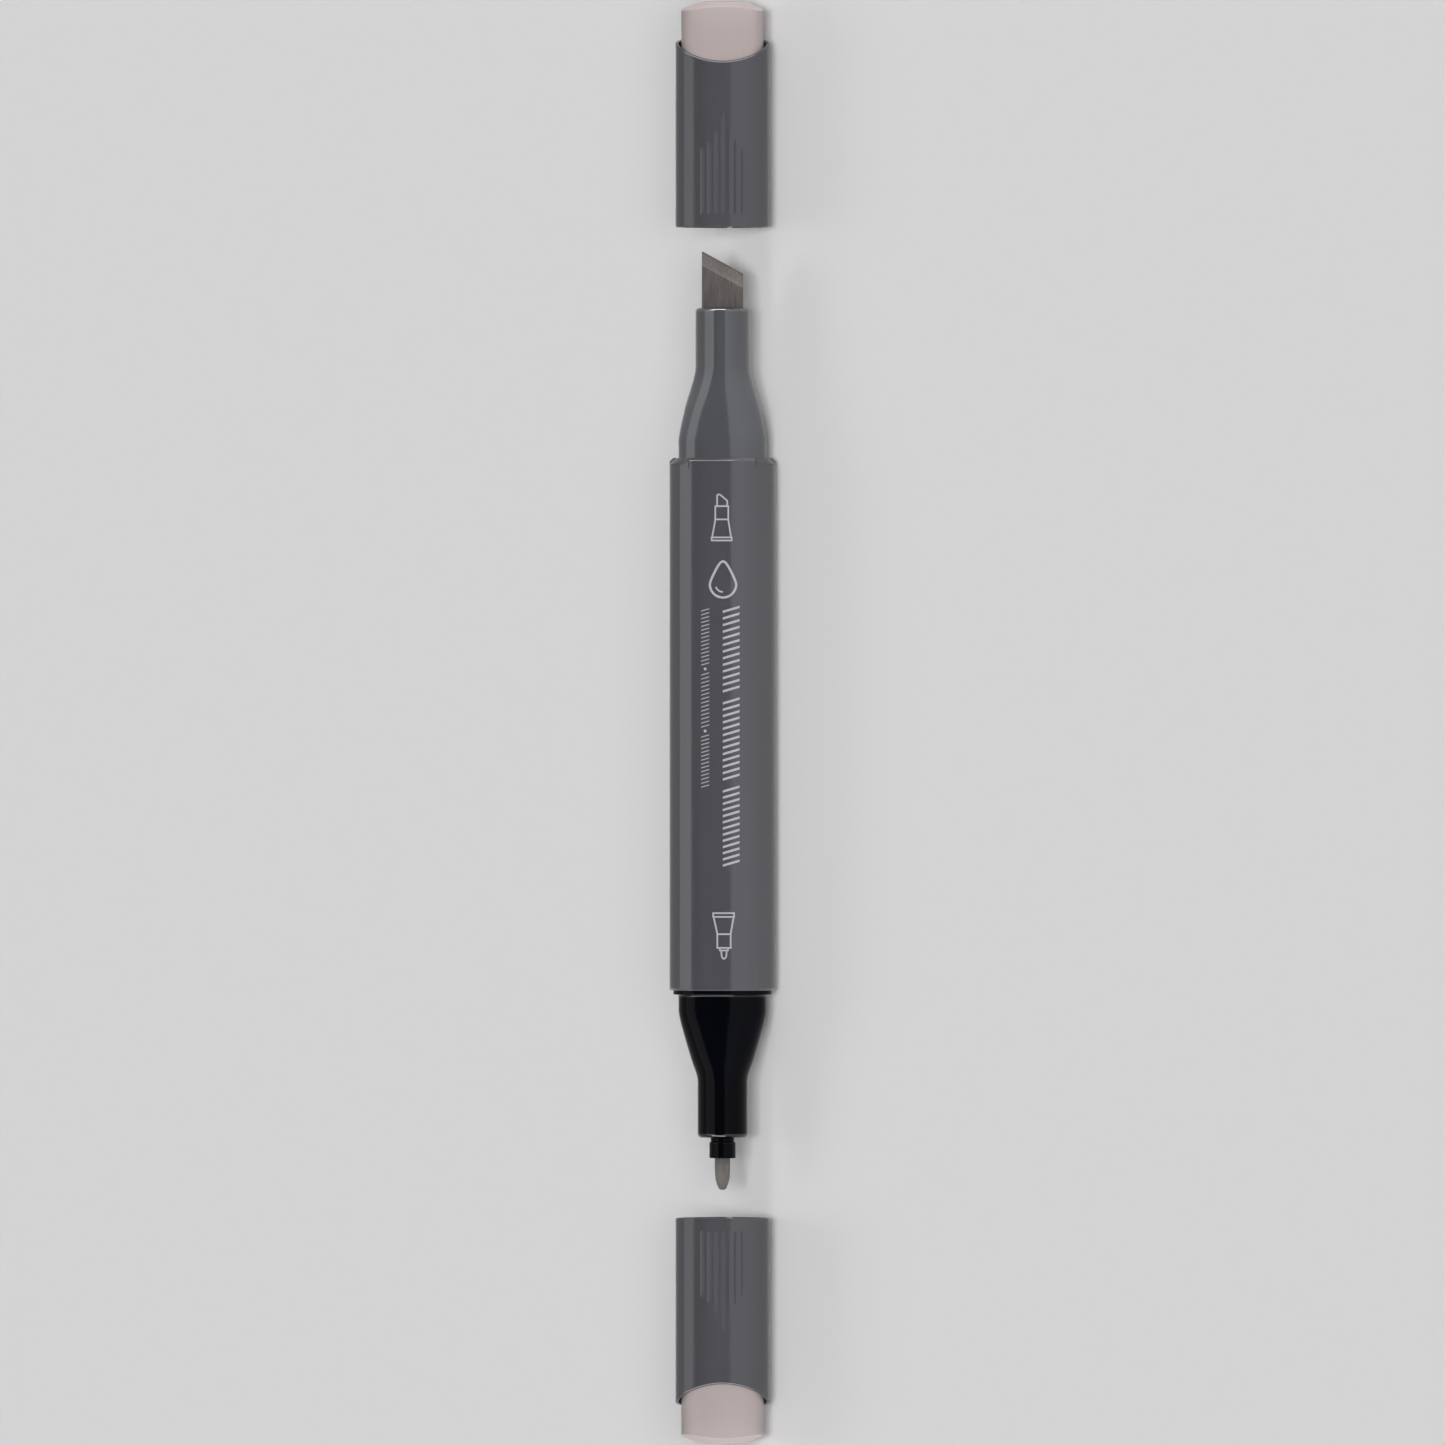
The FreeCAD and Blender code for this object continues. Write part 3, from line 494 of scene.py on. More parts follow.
CHISEL_FLARE = [(0.0, 0.0, 0.0), (0.06, 0.02, 0.01), (0.12, 0.06, 0.03), (0.18, 0.115, 0.06), (0.30, 0.225, 0.14),
                (0.41, 0.337, 0.24), (0.50, 0.44, 0.34), (0.60, 0.575, 0.46), (0.70, 0.71, 0.59), (0.80, 0.84, 0.73),
                (0.88, 0.93, 0.85), (0.95, 0.985, 0.94), (1.0, 1.0, 1.0)]
BULLET_FLARE = [(0.0, 0.0, 0.0), (0.06, 0.025, 0.01), (0.11, 0.06, 0.03), (0.16, 0.10, 0.05), (0.25, 0.19, 0.11),
                (0.344, 0.293, 0.18), (0.45, 0.405, 0.28), (0.55, 0.515, 0.39), (0.65, 0.625, 0.51),
                (0.75, 0.75, 0.64), (0.83, 0.86, 0.76), (0.90, 0.945, 0.87), (0.96, 0.99, 0.95), (1.0, 1.0, 1.0)]

SLOT_U, SLOT_V, SLOT_R = 3.12 + 0.05, 2.0 + 0.05, 0.42


def rounded_rect_ring(y, a, b, r, keys=KEYS):
    """The rounded rectangle of half sizes a (u) and b (v), one point per key."""
    pts = []
    for kind, k, t in keys:
        ang = (math.radians(90 + 120 * k) if kind == "corner" else math.radians(150 + 120 * k)) + t
        du = math.cos(ang) * U[0] + math.sin(ang) * U[2]
        dv = math.cos(ang) * W[0] + math.sin(ang) * W[2]
        # walk out along the ray until the rounded rectangle is met
        lo, hi = 0.0, 2 * (a + b)
        for _ in range(40):
            s = (lo + hi) / 2
            qx, qy = abs(du * s) - (a - r), abs(dv * s) - (b - r)
            d = math.hypot(max(qx, 0), max(qy, 0)) + min(max(qx, qy), 0) - r
            if d > 0:
                hi = s
            else:
                lo = s
        pts.append(world(du * lo, dv * lo, y))
    return np.array(pts)


# chisel neck: spigot in the barrel, keyed base, flare, nose and slot
seat = BARREL_HI
rings = [ring(seat - 6.6, 5.17), ring(seat - 6.6, 5.6), ring(seat - 6.5, BORE - 0.01), ring(seat, BORE - 0.01),
         ring(seat + 0.002, BORE)]
rings += neck_rings(1, seat, 42.6, 54.0, 4.1, CHISEL_LIP, CHISEL_FLARE, 0.55,
                    [(seat + 0.002, 0.0)])
rings += [rounded_rect_ring(CHISEL_LIP, SLOT_U + 0.10, SLOT_V + 0.10, SLOT_R + 0.1),
          rounded_rect_ring(CHISEL_LIP - 0.03, SLOT_U + 0.03, SLOT_V + 0.03, SLOT_R + 0.03),
          rounded_rect_ring(CHISEL_LIP - 0.10, SLOT_U, SLOT_V, SLOT_R),
          rounded_rect_ring(CHISEL_LIP - 2.0, SLOT_U, SLOT_V, SLOT_R),
          rounded_rect_ring(seat - 2.9, SLOT_U, SLOT_V, SLOT_R), ring(seat - 3.0, 5.17)]
neck = mesh_object("chisel_neck_moulding", *loft(rings, closed=True), "marker", NECK_MAT, "chisel_neck", "neck_grey")
second_material(neck, LIP_MAT, (CHISEL_LIP - 0.63, CHISEL_LIP + 0.01))

# bullet neck: the same with a flange, and round holes for the collar and nib
seat = -BARREL_LO
flange = rounded([(seat, BORE), (seat, 7.49, 0.05), (seat + 0.6, 7.49, 0.14), (seat + 0.6, BASE_HW + 0.01, 0.42),
                  (seat + 1.4, BASE_HW)], 6)
rings = [ring(-(seat - 6.6), 5.17), ring(-(seat - 6.6), 5.6), ring(-(seat - 6.5), BORE - 0.01),
         ring(-seat, BORE - 0.01)]
for y, r in flange[1:-1]:
    w = r - BASE_HW
    rings.append(ring(-y, BASE_HW + w, BASE_RC + w))
rings += neck_rings(-1, seat + 1.0, 43.6, 54.5, 3.765, -BULLET_LIP, BULLET_FLARE, 0.62, [])
rings += [ring(BULLET_LIP, 1.70), ring(BULLET_LIP + 0.06, 1.62), ring(BULLET_LIP + 4.9, 1.61),
          ring(BULLET_LIP + 4.9, 1.18), ring(-(seat - 2.9), 1.18), ring(-(seat - 3.0), 5.17)]
neck = mesh_object("bullet_neck_moulding", *loft(rings, closed=True), "marker", BLACK_MAT, "bullet_neck",
                   "neck_black")
second_material(neck, BLACK_EDGE_MAT, (-(seat + 1.02), -(seat + 0.60)))
second_material(neck, BLACK_LIP_MAT, (BULLET_LIP - 0.01, BULLET_LIP + 0.63))

# --------------------------------------------------------------------- collar
n_end = -BULLET_LIP
profile = rounded([
    (58.0, 1.175), (58.0, 1.6, 0.05), (n_end, 1.6), (n_end + 0.02, 1.8, 0.06), (n_end + 0.52, 1.8, 0.10),
    (n_end + 0.58, 1.72, 0.05), (n_end + 0.68, 2.0, 0.26), (-COLLAR_END, 2.0, 0.12), (-COLLAR_END, 1.50, 0.05),
    (-COLLAR_END - 0.12, 1.38, 0.05), (-COLLAR_END - 0.12, 1.175)], 6)
rings = [ring(-y, r) for y, r in profile]
holder = mesh_object("bullet_nib_holder", *loft(rings, closed=True), "marker", BLACK_MAT, "bullet_nib_collar",
                     "neck_black")
second_material(holder, BLACK_EDGE_MAT, (-(n_end + 0.95), -(n_end + 0.67)))

# ----------------------------------------------------------------- bullet nib
TAIL = 24.0
tip = -BULLET_TIP
nib_profile = [(0.0, 0.0), (0.03, 0.16), (0.09, 0.285), (0.2, 0.43), (0.4, 0.60), (0.7, 0.78), (1.1, 0.93),
               (1.6, 1.045), (2.2, 1.115), (2.9, 1.155), (3.7, 1.165), (4.7, 1.165)]
xs, ys_ = [p[0] for p in nib_profile], [p[1] for p in nib_profile]
NIB_KEYS = section_keys(26, 26)


def fibre_offset(p, amount, along=0.35):
    """Fine ridges that run along the nib: a shift in mm for a point in mm."""
    q = Vector((p[0] * 9.0, p[1] * along, p[2] * 9.0))
    a = noise.noise(q) + 0.5 * noise.noise(q * 2.3)
    return amount * a


rings = [ring(-TAIL, 1.165, keys=NIB_KEYS), ring(-60.0, 1.165, keys=NIB_KEYS)]
for d in list(np.linspace(4.6, 0.5, 50)) + [0.42, 0.34, 0.27, 0.2, 0.15, 0.1, 0.06, 0.035, 0.015]:
    r = float(np.interp(d, xs, ys_)) if d > 0.5 else 0.0
    if d <= 0.5:
        # a small blunt ball at the very tip
        big = float(np.interp(0.5, xs, ys_))
        r = big * math.sqrt(max(0.0, 1 - ((0.5 - d) / 0.5) ** 2.2)) if d < 0.5 else big
    base = ring(-(tip - d), max(r, 0.02), keys=NIB_KEYS)
    out = []
    for p in base:
        radial = np.array([p[0], 0, p[2] - AXIS_Z])
        ln = np.linalg.norm(radial)
        s = fibre_offset(p, 0.014) * min(1.0, ln / 0.5)
        out.append(p + radial / ln * s if ln > 0 else p)
    rings.append(np.array(out))
mesh_object("bullet_nib_fibre", *loft(rings, cap_start=True, cap_end=True), "marker", BULLET_MAT, "bullet_nib",
            "nib_fibre")

# ----------------------------------------------------------------- chisel nib
HALF_U, HALF_V = 3.12, 2.0
LONG, SHORT = CHISEL_TIP, CHISEL_TIP - 3.4
BEVEL, EDGE = 2.15, 0.75
SIDE_KEYS = section_keys(40, 40)


def stick_ring(y, scale_u=1.0, scale_v=1.0):
    return rounded_rect_ring(y, HALF_U * scale_u, HALF_V * scale_v, 0.24, SIDE_KEYS)


def local(p):
    q = p - ORIGIN
    return float(np.dot(q, U)), float(np.dot(q, W))


def soft_min(a, b, k):
    h = max(k - abs(a - b), 0.0) / k
    return min(a, b) - h * h * k * 0.25


def nib_top(u, v):
    """Height of the cut end over the stick's section."""
    slope = (SHORT - LONG) / (2 * HALF_U)
    ridge = LONG + slope * (u + HALF_U)
    fall = BEVEL / (HALF_V - EDGE)
    return soft_min(ridge, ridge - (abs(v) - EDGE) * fall, 0.22)


outline = stick_ring(0.0)
flat = [local(p) for p in outline]
rings = [stick_ring(TAIL), stick_ring(58.0)]
rows = list(np.linspace(0.0, 1.0, 46))
for s in rows:
    pts = []
    for (u, v) in flat:
        start, top_y = 61.0, nib_top(u, v) - 0.10
        y = start + (top_y - start) * s
        n = np.array([u / HALF_U ** 2, v / HALF_V ** 2])
        n = np.array([math.copysign(abs(u / HALF_U) ** 9, u), math.copysign(abs(v / HALF_V) ** 9, v)])
        n = n / (np.linalg.norm(n) + 1e-9)
        p = world(u, v, y)
        f = fibre_offset(p, 0.020)
        pts.append(world(u + n[0] * f, v + n[1] * f, y))
    rings.append(np.array(pts))
for s in [0.985, 0.96, 0.93, 0.90, 0.86, 0.82, 0.78, 0.74, 0.70, 0.66, 0.62, 0.58, 0.54, 0.50, 0.46, 0.43, 0.40,
          0.37, 0.34, 0.31, 0.28, 0.24, 0.20, 0.16, 0.12, 0.08, 0.04]:
    pts = []
    edge_drop = 0.06 * max(0.0, (s - 0.95) / 0.05)
    for (u, v) in flat:
        uu, vv = u * (1 - (1 - s) * 1.0), v * s
        y = nib_top(uu, vv) - edge_drop
        p = world(uu, vv, y)
        y += 0.022 * noise.noise(Vector((p[0] * 7, p[1] * 2, p[2] * 7)))
        pts.append(world(uu, vv, y))
    rings.append(np.array(pts))
verts, faces = loft(rings, cap_start=True, cap_end=True)
verts[-1] = world(0, 0, nib_top(0, 0))
mesh_object("chisel_nib_fibre", verts, faces, "marker", NIB_PAINTED_LIGHT_MAT, "chisel_nib", "nib_fibre")

# ----------------------------------------------------------------------- caps
SHELL_HW, SHELL_RC, WALL = 7.12, 3.774, 0.42
SCOOP_R, SCOOP_LOW, SCOOP_SLOPE = 14.8, 25.07, 0.27
REACH = 0.7489182 * SHELL_HW + 0.2510818 * SHELL_RC
FACE_R = 3 * SHELL_HW - 2 * SHELL_RC
RIB_PITCH, RIB_WIDTH, RIB_HEIGHT = 1.02, 0.56, 0.085
RIB_START, RIB_ENDS = 1.8, (17.5, 15.0, 13.4, 12.3)


def cap_keys():
    keys = []
    for k in range(3):
        for i in range(24):
            keys.append(("corner", k, -CORNER_HALF + 2 * CORNER_HALF * i / 24))
        # fine steps where the ribs are
        n = 118
        for i in range(n):
            keys.append(("face", k, -PHI + 2 * PHI * i / n))
    return keys


CAP_KEYS = cap_keys()


def scoop_y(x, z):
    """Height of the scooped end above the mouth at a point of the section."""
    q = np.array([x, 0.0, z])
    u, v = float(np.dot(q, U)), float(np.dot(q, W))
    m = SCOOP_SLOPE
    k = math.sqrt(1 + m * m)
    return SCOOP_LOW + k * SCOOP_R - m * (v - REACH) - k * math.sqrt(SCOOP_R ** 2 - u ** 2)


def rib_height(kind, a, d):
    """Height of the grip ribs at angle a of a face, d above the mouth."""
    if kind != "face":
        return 0.0
    offset = FACE_R * math.sin(a)
    i = round(offset / RIB_PITCH)
    if abs(i) > 3:
        return 0.0
    x = abs(offset - i * RIB_PITCH) / (RIB_WIDTH / 2)
    if x >= 1:
        return 0.0
    end = RIB_ENDS[abs(i)]
    # both ends run out gently
    e = min((d - RIB_START) / 0.45, (end - d) / 1.1)
    if e <= 0:
        return 0.0
    along = 1.0 if e >= 1 else e * e * (3 - 2 * e)
    return RIB_HEIGHT * along * (0.5 + 0.5 * math.cos(math.pi * x)) ** 0.75


def cap_rows():
    ys = {0.7, 1.2}
    for c in (RIB_START, *RIB_ENDS):
        for o in (-0.1, 0.0, 0.06, 0.12, 0.18, 0.24, 0.30, 0.37, 0.45, 0.6, 0.75, 0.9, 1.1):
            ys.add(round(c + (o if c == RIB_START else -o), 3))
    ys |= {float(v) for v in (3.2, 4.6, 6.0, 7.4, 8.8, 10.2, 11.3, 19.0, 20.5)}
    return sorted(ys)


def cap(name, sign, seal_bore):
    body = name

    def place(d, pts_xz):
        return np.array([(x, sign * (CAP_MOUTH + dd), AXIS_Z + z) for (x, z), dd in zip(pts_xz, d)])

    def at_offset(w, extra=None):
        out = []
        for j, (kind, k, a) in enumerate(CAP_KEYS):
            e = 0.0 if extra is None else extra[j]
            out.append(section_point(SHELL_HW - w + e, SHELL_RC - w + e, kind, k, a))
        return out

    n = len(CAP_KEYS)
    rings = []
    # mouth rim, with a lead-in inside that clears the neck, from the inside out
    rim = [(0.42, 0.44), (0.415, 0.40), (0.40, 0.36), (0.19, 0.03), (0.175, 0.01), (0.16, 0.0), (0.05, 0.0),
           (0.033, 0.003), (0.0175, 0.011), (0.006, 0.024), (0.001, 0.038), (0.0, 0.05)]
    round_off = [cornerness(*key) for key in CAP_KEYS]
    for w, d in rim:
        # the outer rounding is wider and taller on the corners
        tall = [d * (1 + 11.0 * g) if w <= 0.05 else d for g in round_off]
        wide = [-w * 1.8 * g if w <= 0.05 else 0.0 for g in round_off]
        rings.append(place(tall, at_offset(w, wide)))
    for d in cap_rows():
        extra = [rib_height(kind, a, d) for kind, k, a in CAP_KEYS]
        rings.append(place([d] * n, at_offset(0.0, extra)))
    plain = at_offset(0.0)
    tops = [scoop_y(x, z) for x, z in plain]
    for s in np.linspace(0, 1, 12)[1:]:
        rings.append(place([21.0 + (t - 0.32 - 21.0) * s for t in tops], plain))
    # scooped rim, rounded, from the outside in
    for w, drop in [(0.004, 0.27), (0.017, 0.213), (0.042, 0.158), (0.078, 0.108), (0.124, 0.066), (0.178, 0.033),
                    (0.236, 0.011), (0.30, 0.0), (0.36, 0.0), (0.395, 0.015), (0.415, 0.045), (0.42, 0.08)]:
        pts = at_offset(w)
        rings.append(place([scoop_y(x, z) - drop for x, z in pts], pts))
    inner = at_offset(WALL)
    tops = [scoop_y(x, z) for x, z in inner]
    for s in (0.6, 0.25):
        rings.append(place([24.2 + (t - 24.2) * s for t in tops], inner))
    for d in (24.2, 20.0, 16.1, 15.9, 10.0, 5.0, 1.0, 0.4):
        rings.append(place([d] * n, inner))
    mesh_object(name + "_shell_moulding", *loft(rings, closed=True), body, CAP_MAT, name + "_shell", "cap_grey")

    # colour plug: skirt in the shell, ledge, and the part that shows
    P_HW, P_RC = 6.24, 2.894
    S_HW, S_RC = SHELL_HW - WALL - 0.012, SHELL_RC - WALL - 0.012
    top = CAP_LENGTH

    def y(d):
        return sign * (CAP_MOUTH + d)

    rings = [ring(y(top - 1.22), 5.0), ring(y(16.12), 5.0), ring(y(16.0), 5.12)]
    for d, w in [(16.0, 0.2), (16.05, 0.06), (16.2, 0.0), (20.0, 0.0), (24.1, 0.0), (24.25, 0.05), (24.3, 0.2)]:
        rings.append(ring(y(d), S_HW - w, S_RC - w))
    for d, w in [(24.3, -0.25), (24.33, -0.1), (24.42, -0.02), (24.6, 0.0), (26.5, 0.0), (28.5, 0.0), (30.5, 0.0),
                 (31.6, 0.0), (32.1, 0.0)]:
        rings.append(ring(y(d), P_HW - w, P_RC - w))
    # the end: side wall, rounded shoulder, shallow cone, flat disc
    side = [section_point(P_HW, P_RC, kind, k, a) for kind, k, a in KEYS]
    radii = [math.hypot(x, z) for x, z in side]

    def end_height(r):
        cone = top - 0.42 * (r - 3.3)
        return soft_min(top, cone, 0.5)

    for off, drop in [(0.0, 0.20), (0.0, 0.15), (0.008, 0.10), (0.025, 0.06), (0.055, 0.03), (0.10, 0.01), (0.16, 0.0)]:
        pts = []
        for (x, z), r in zip(side, radii):
            f = (r - off) / r
            pts.append((x * f, y(end_height(r - off) - drop), AXIS_Z + z * f))
        rings.append(np.array(pts))
    for f in (0.9, 0.84, 0.78, 0.72, 0.66, 0.61, 0.57, 0.54, 0.51, 0.48, 0.42, 0.3, 0.15):
        pts = []
        for (x, z), r in zip(side, radii):
            # the rings turn round as they close in on the flat disc
            g = f * (1 - (1 - f) * 0.25 * (r / 6.0 - 1))
            pts.append((x * g, y(end_height(r * g)), AXIS_Z + z * g))
        rings.append(np.array(pts))
    verts, faces = loft(rings, closed=False, cap_start=True, cap_end=True)
    verts[-1] = np.array([0, y(top), AXIS_Z])
    mesh_object(name + "_plug_moulding", verts, faces, body, PLUG_MAT, name + "_plug", "colour_plug")

    # inner seal cup
    prof = rounded([
        (top - 1.23, 0.0), (top - 1.23, 4.99, 0.2), (15.5, 4.99, 0.15), (15.5, seal_bore + 0.28, 0.12),
        (16.0, seal_bore, 0.2), (19.5, seal_bore, 0.2), (19.9, 4.45, 0.2), (32.2, 4.45, 0.8), (32.2, 0.0)], 5)
    rings = [ring(y(d), max(r, 0.05)) for d, r in prof]
    mesh_object(name + "_seal_moulding", *loft(rings, cap_start=True, cap_end=True), body, SEAL_MAT,
                name + "_inner_seal", "seal_natural")


cap("chisel_cap", 1, 4.14)
cap("bullet_cap", -1, 3.8)

# ---------------------------------------------------- pieces carried over
for node, mat in (("ink_reservoir", CORE_MAT), ("reservoir_wrap", FILM_MAT)):
    ob = frame["nodes"][node]
    if not ob.material_slots:
        ob.data.materials.append(mat)
    for s in ob.material_slots:
        s.material = mat

# ------------------------------------------------------------ print on barrel
B_FACE = 3 * HW - 2 * RC
B_BACK = B_FACE - (0.7489182 * HW + 0.2510818 * RC)
PRINT_LIFT, PRINT_SINK = 0.010, 0.012


def on_face(u, y, lift):
    r = B_FACE + lift
    return world(u / B_FACE * r, -B_BACK + math.sqrt(r * r - (u / B_FACE * r) ** 2), y)


class Print:
    """Closed thin slabs of ink that follow the crowned face."""

    def __init__(self):
        self.verts, self.faces = [], []

    def slab(self, grid):
        """grid: rows of (u, y) points; the slab covers all its cells."""
        rows, cols = len(grid), len(grid[0])
        base = len(self.verts)
        for lift in (PRINT_LIFT, -PRINT_SINK):
            for row in grid:
                for u, y in row:
                    self.verts.append(on_face(u, y, lift))
        size = rows * cols

        def i(level, r, c):
            return base + level * size + r * cols + c

        for r in range(rows - 1):
            for c in range(cols - 1):
                self.faces.append((i(0, r, c), i(0, r, c + 1), i(0, r + 1, c + 1), i(0, r + 1, c)))
                self.faces.append((i(1, r, c), i(1, r + 1, c), i(1, r + 1, c + 1), i(1, r, c + 1)))
        rim = ([(0, c) for c in range(cols)] + [(r, cols - 1) for r in range(1, rows)]
               + [(rows - 1, c) for c in range(cols - 2, -1, -1)] + [(r, 0) for r in range(rows - 2, 0, -1)])
        for a, b in zip(rim, rim[1:] + rim[:1]):
            self.faces.append((i(0, *a), i(0, *b), i(1, *b), i(1, *a)))

    def line(self, pts, width, closed=False, step=0.3):
        """A mitred stroke along a polyline, as one slab (or a closed band)."""
        p = [np.array(q, float) for q in pts]
        dense = []
        n = len(p)
        for k in range(n if closed else n - 1):
            a, b = p[k], p[(k + 1) % n]
            m = max(1, int(np.linalg.norm(b - a) / step))
            for s in range(m):
                dense.append(a + (b - a) * s / m)
        if not closed:
            dense.append(p[-1])
        left, right = [], []
        m = len(dense)
        for k in range(m):
            prev = dense[(k - 1) % m] if (closed or k > 0) else None
            nxt = dense[(k + 1) % m] if (closed or k < m - 1) else None
            d0 = dense[k] - prev if prev is not None else nxt - dense[k]
            d1 = nxt - dense[k] if nxt is not None else d0
            d0, d1 = d0 / np.linalg.norm(d0), d1 / np.linalg.norm(d1)
            n0, n1 = np.array([-d0[1], d0[0]]), np.array([-d1[1], d1[0]])
            mid = n0 + n1
            mid /= np.linalg.norm(mid)
            s = width / 2 / max(0.35, float(np.dot(mid, n0)))
            left.append(dense[k] + mid * s)
            right.append(dense[k] - mid * s)
        if closed:
            left.append(left[0])
            right.append(right[0])
            base = len(self.verts)
            rows = [right[:-1], left[:-1]]
            m = len(rows[0])
            for lift in (PRINT_LIFT, -PRINT_SINK):
                for row in rows:
                    for u, y in row:
                        self.verts.append(on_face(u, y, lift))
            for c in range(m):
                d = (c + 1) % m
                r0, l0, r1, l1 = base, base + m, base + 2 * m, base + 3 * m
                self.faces.append((r0 + c, r0 + d, l0 + d, l0 + c))
                self.faces.append((r1 + d, r1 + c, l1 + c, l1 + d))
                self.faces.append((r0 + d, r0 + c, r1 + c, r1 + d))
                self.faces.append((l0 + c, l0 + d, l1 + d, l1 + c))
        else:
            self.slab([[tuple(q) for q in right], [tuple(q) for q in left]])

    def dash(self, u0, u1, y, width, lean):
        """A slanted bar across the face from u0 to u1."""
        cols = max(4, int((u1 - u0) / 0.22))
        lo = [(u0 + (u1 - u0) * c / cols, y - width / 2 + lean * (c / cols - 0.5)) for c in range(cols + 1)]
        hi = [(u, yy + width) for u, yy in lo]
        self.slab([lo, hi])

    def dot(self, u, y, r, n=20):
        centre_rings = []
        for f in (0.001, 0.5, 1.0):
            centre_rings.append([(u + r * f * math.cos(2 * math.pi * k / n), y + r * f * math.sin(2 * math.pi * k / n))
                                 for k in range(n)])
        base = len(self.verts)
        for lift in (PRINT_LIFT, -PRINT_SINK):
            for rr in centre_rings:
                for q in rr:
                    self.verts.append(on_face(q[0], q[1], lift))
        m = len(centre_rings)
        for lvl in (0, 1):
            o = base + lvl * m * n
            for i in range(m - 1):
                for a in range(n):
                    b = (a + 1) % n
                    f = (o + i * n + a, o + i * n + b, o + (i + 1) * n + b, o + (i + 1) * n + a)
                    self.faces.append(f if lvl == 0 else f[::-1])
            self.faces.append(tuple(o + a for a in (range(n) if lvl else range(n - 1, -1, -1))))
        o, q = base + (m - 1) * n, base + (2 * m - 1) * n
        for a in range(n):
            b = (a + 1) % n
            self.faces.append((o + a, q + a, q + b, o + b))


PXY = 0.1515


def P(x, y):
    """A place on the printed face, in marks of 0.1515 mm from its corner."""
    return ((x - 722.1) * PXY, (722.5 - y) * PXY)


ink = Print()
T = 0.235
# pictogram of the broad end
ink.line([P(716.7, 505.9), P(716.7, 496.2), P(717.3, 495.0), P(718.6, 494.6), P(719.8, 495.0), P(726.4, 500.6),
          P(727.0, 501.9), P(726.6, 505.9)], T)
ink.line([P(714.9, 506.4), P(727.9, 506.4), P(727.9, 519.6), P(714.9, 519.6)], T, closed=True)
ink.line([P(714.9, 520.4), P(711.7, 537.6)], T)
ink.line([P(727.9, 520.4), P(730.7, 537.6)], T)
ink.line([P(711.3, 537.6), P(731.2, 537.6), P(731.2, 540.7), P(711.3, 540.7)], T, closed=True)
# pictogram of the fine end
ink.line([P(712.8, 912.9), P(733.7, 912.9), P(733.7, 916.7), P(712.8, 916.7)], T, closed=True)
ink.line([P(713.4, 917.6), P(716.9, 933.2)], T)
ink.line([P(733.1, 917.6), P(730.3, 933.2)], T)
ink.line([P(716.9, 933.9), P(730.3, 933.9), P(730.3, 947.6), P(716.9, 947.6)], T, closed=True)
ink.line([P(719.5, 948.3), P(719.5, 950.2), P(727.6, 950.2), P(727.6, 948.3)], T)
ink.line([P(720.9, 951.0), P(721.2, 955.2), P(722.0, 957.6), P(723.6, 958.6), P(725.2, 957.6), P(726.0, 955.2),
          P(726.3, 951.0)], T)
# drop of ink where a maker would put its badge
drop = []
for k in range(28):
    a = 2 * math.pi * k / 28
    r = 2.0
    x, yy = r * math.sin(a), r * math.cos(a)
    if yy > 0:
        yy = yy * (1.0 + 0.75 * (yy / r) ** 2)
        x = x * (1.0 - 0.25 * (yy / (r * 1.75)))
    drop.append((x + P(722.6, 0)[0], yy + P(0, 584.5)[1]))
ink.line(drop, 0.34, closed=True, step=0.25)
arc = [(P(722.6, 0)[0] + 1.15 * math.cos(math.radians(a)), P(0, 584.5)[1] + 1.15 * math.sin(math.radians(a)))
       for a in range(200, 271, 10)]
ink.line(arc, 0.24, step=0.2)
# hatch bands: a broad one in three lengths and a fine one beside it
for y0, y1 in ((609.5, 689.0), (701.0, 777.0), (789.0, 863.0)):
    count = round((y1 - y0) / 6.4)
    for k in range(count + 1):
        yy = y0 + (y1 - y0) * k / count
        ink.dash(P(722.4, 0)[0], P(739.2, 0)[0], P(0, yy)[1], 0.35, 0.75)
for y0, y1 in ((610.0, 664.0), (674.0, 726.0), (736.0, 786.0)):
    count = round((y1 - y0) / 3.9)
    for k in range(count + 1):
        yy = y0 + (y1 - y0) * k / count
        ink.dash(P(700.8, 0)[0], P(708.8, 0)[0], P(0, yy)[1], 0.13, 0.35)
for yy in (669.0, 731.0):
    ink.dot(P(704.8, 0)[0], P(0, yy)[1], 0.22)
mesh_object("barrel_print", ink.verts, ink.faces, "marker", PRINT_MAT, None, "barrel_grey", smooth=False,
            weighted=False)

# ----------------------------------------------------------------------- stage
me = bpy.data.meshes.new("floor")
S = 3.0
me.from_pydata([(-S, -S, -2e-5), (S, -S, -2e-5), (S, S, -2e-5), (-S, S, -2e-5)], [], [(0, 1, 2, 3)])
floor = bpy.data.objects.new("floor", me)
scene.collection.objects.link(floor)
mat, nt, bsdf = nodes_of("pale_floor")
bsdf.inputs["Base Color"].default_value = (0.80, 0.80, 0.80, 1)
bsdf.inputs["Roughness"].default_value = 0.9
bsdf.inputs["Specular IOR Level"].default_value = 0.0
me.materials.append(mat)

# the camera looks straight at the printed face, with the chisel end up
cam = bpy.data.cameras.new("camera")
cam_ob = bpy.data.objects.new("camera", cam)
scene.collection.objects.link(cam_ob)
DIST, FRAME_W = 6.0, 1445 * PXY * MM
cam.sensor_width = 36.0
cam.lens = 36.0 * DIST / FRAME_W
cam.clip_start, cam.clip_end = 0.1, 60.0
back = Vector(W)
cam_ob.matrix_world = (Matrix.Translation(Vector((0, 0, AXIS_Z * MM)) + back * DIST)
                       @ Matrix((Vector(U), Vector(Y), back)).transposed().to_4x4())
scene.camera = cam_ob


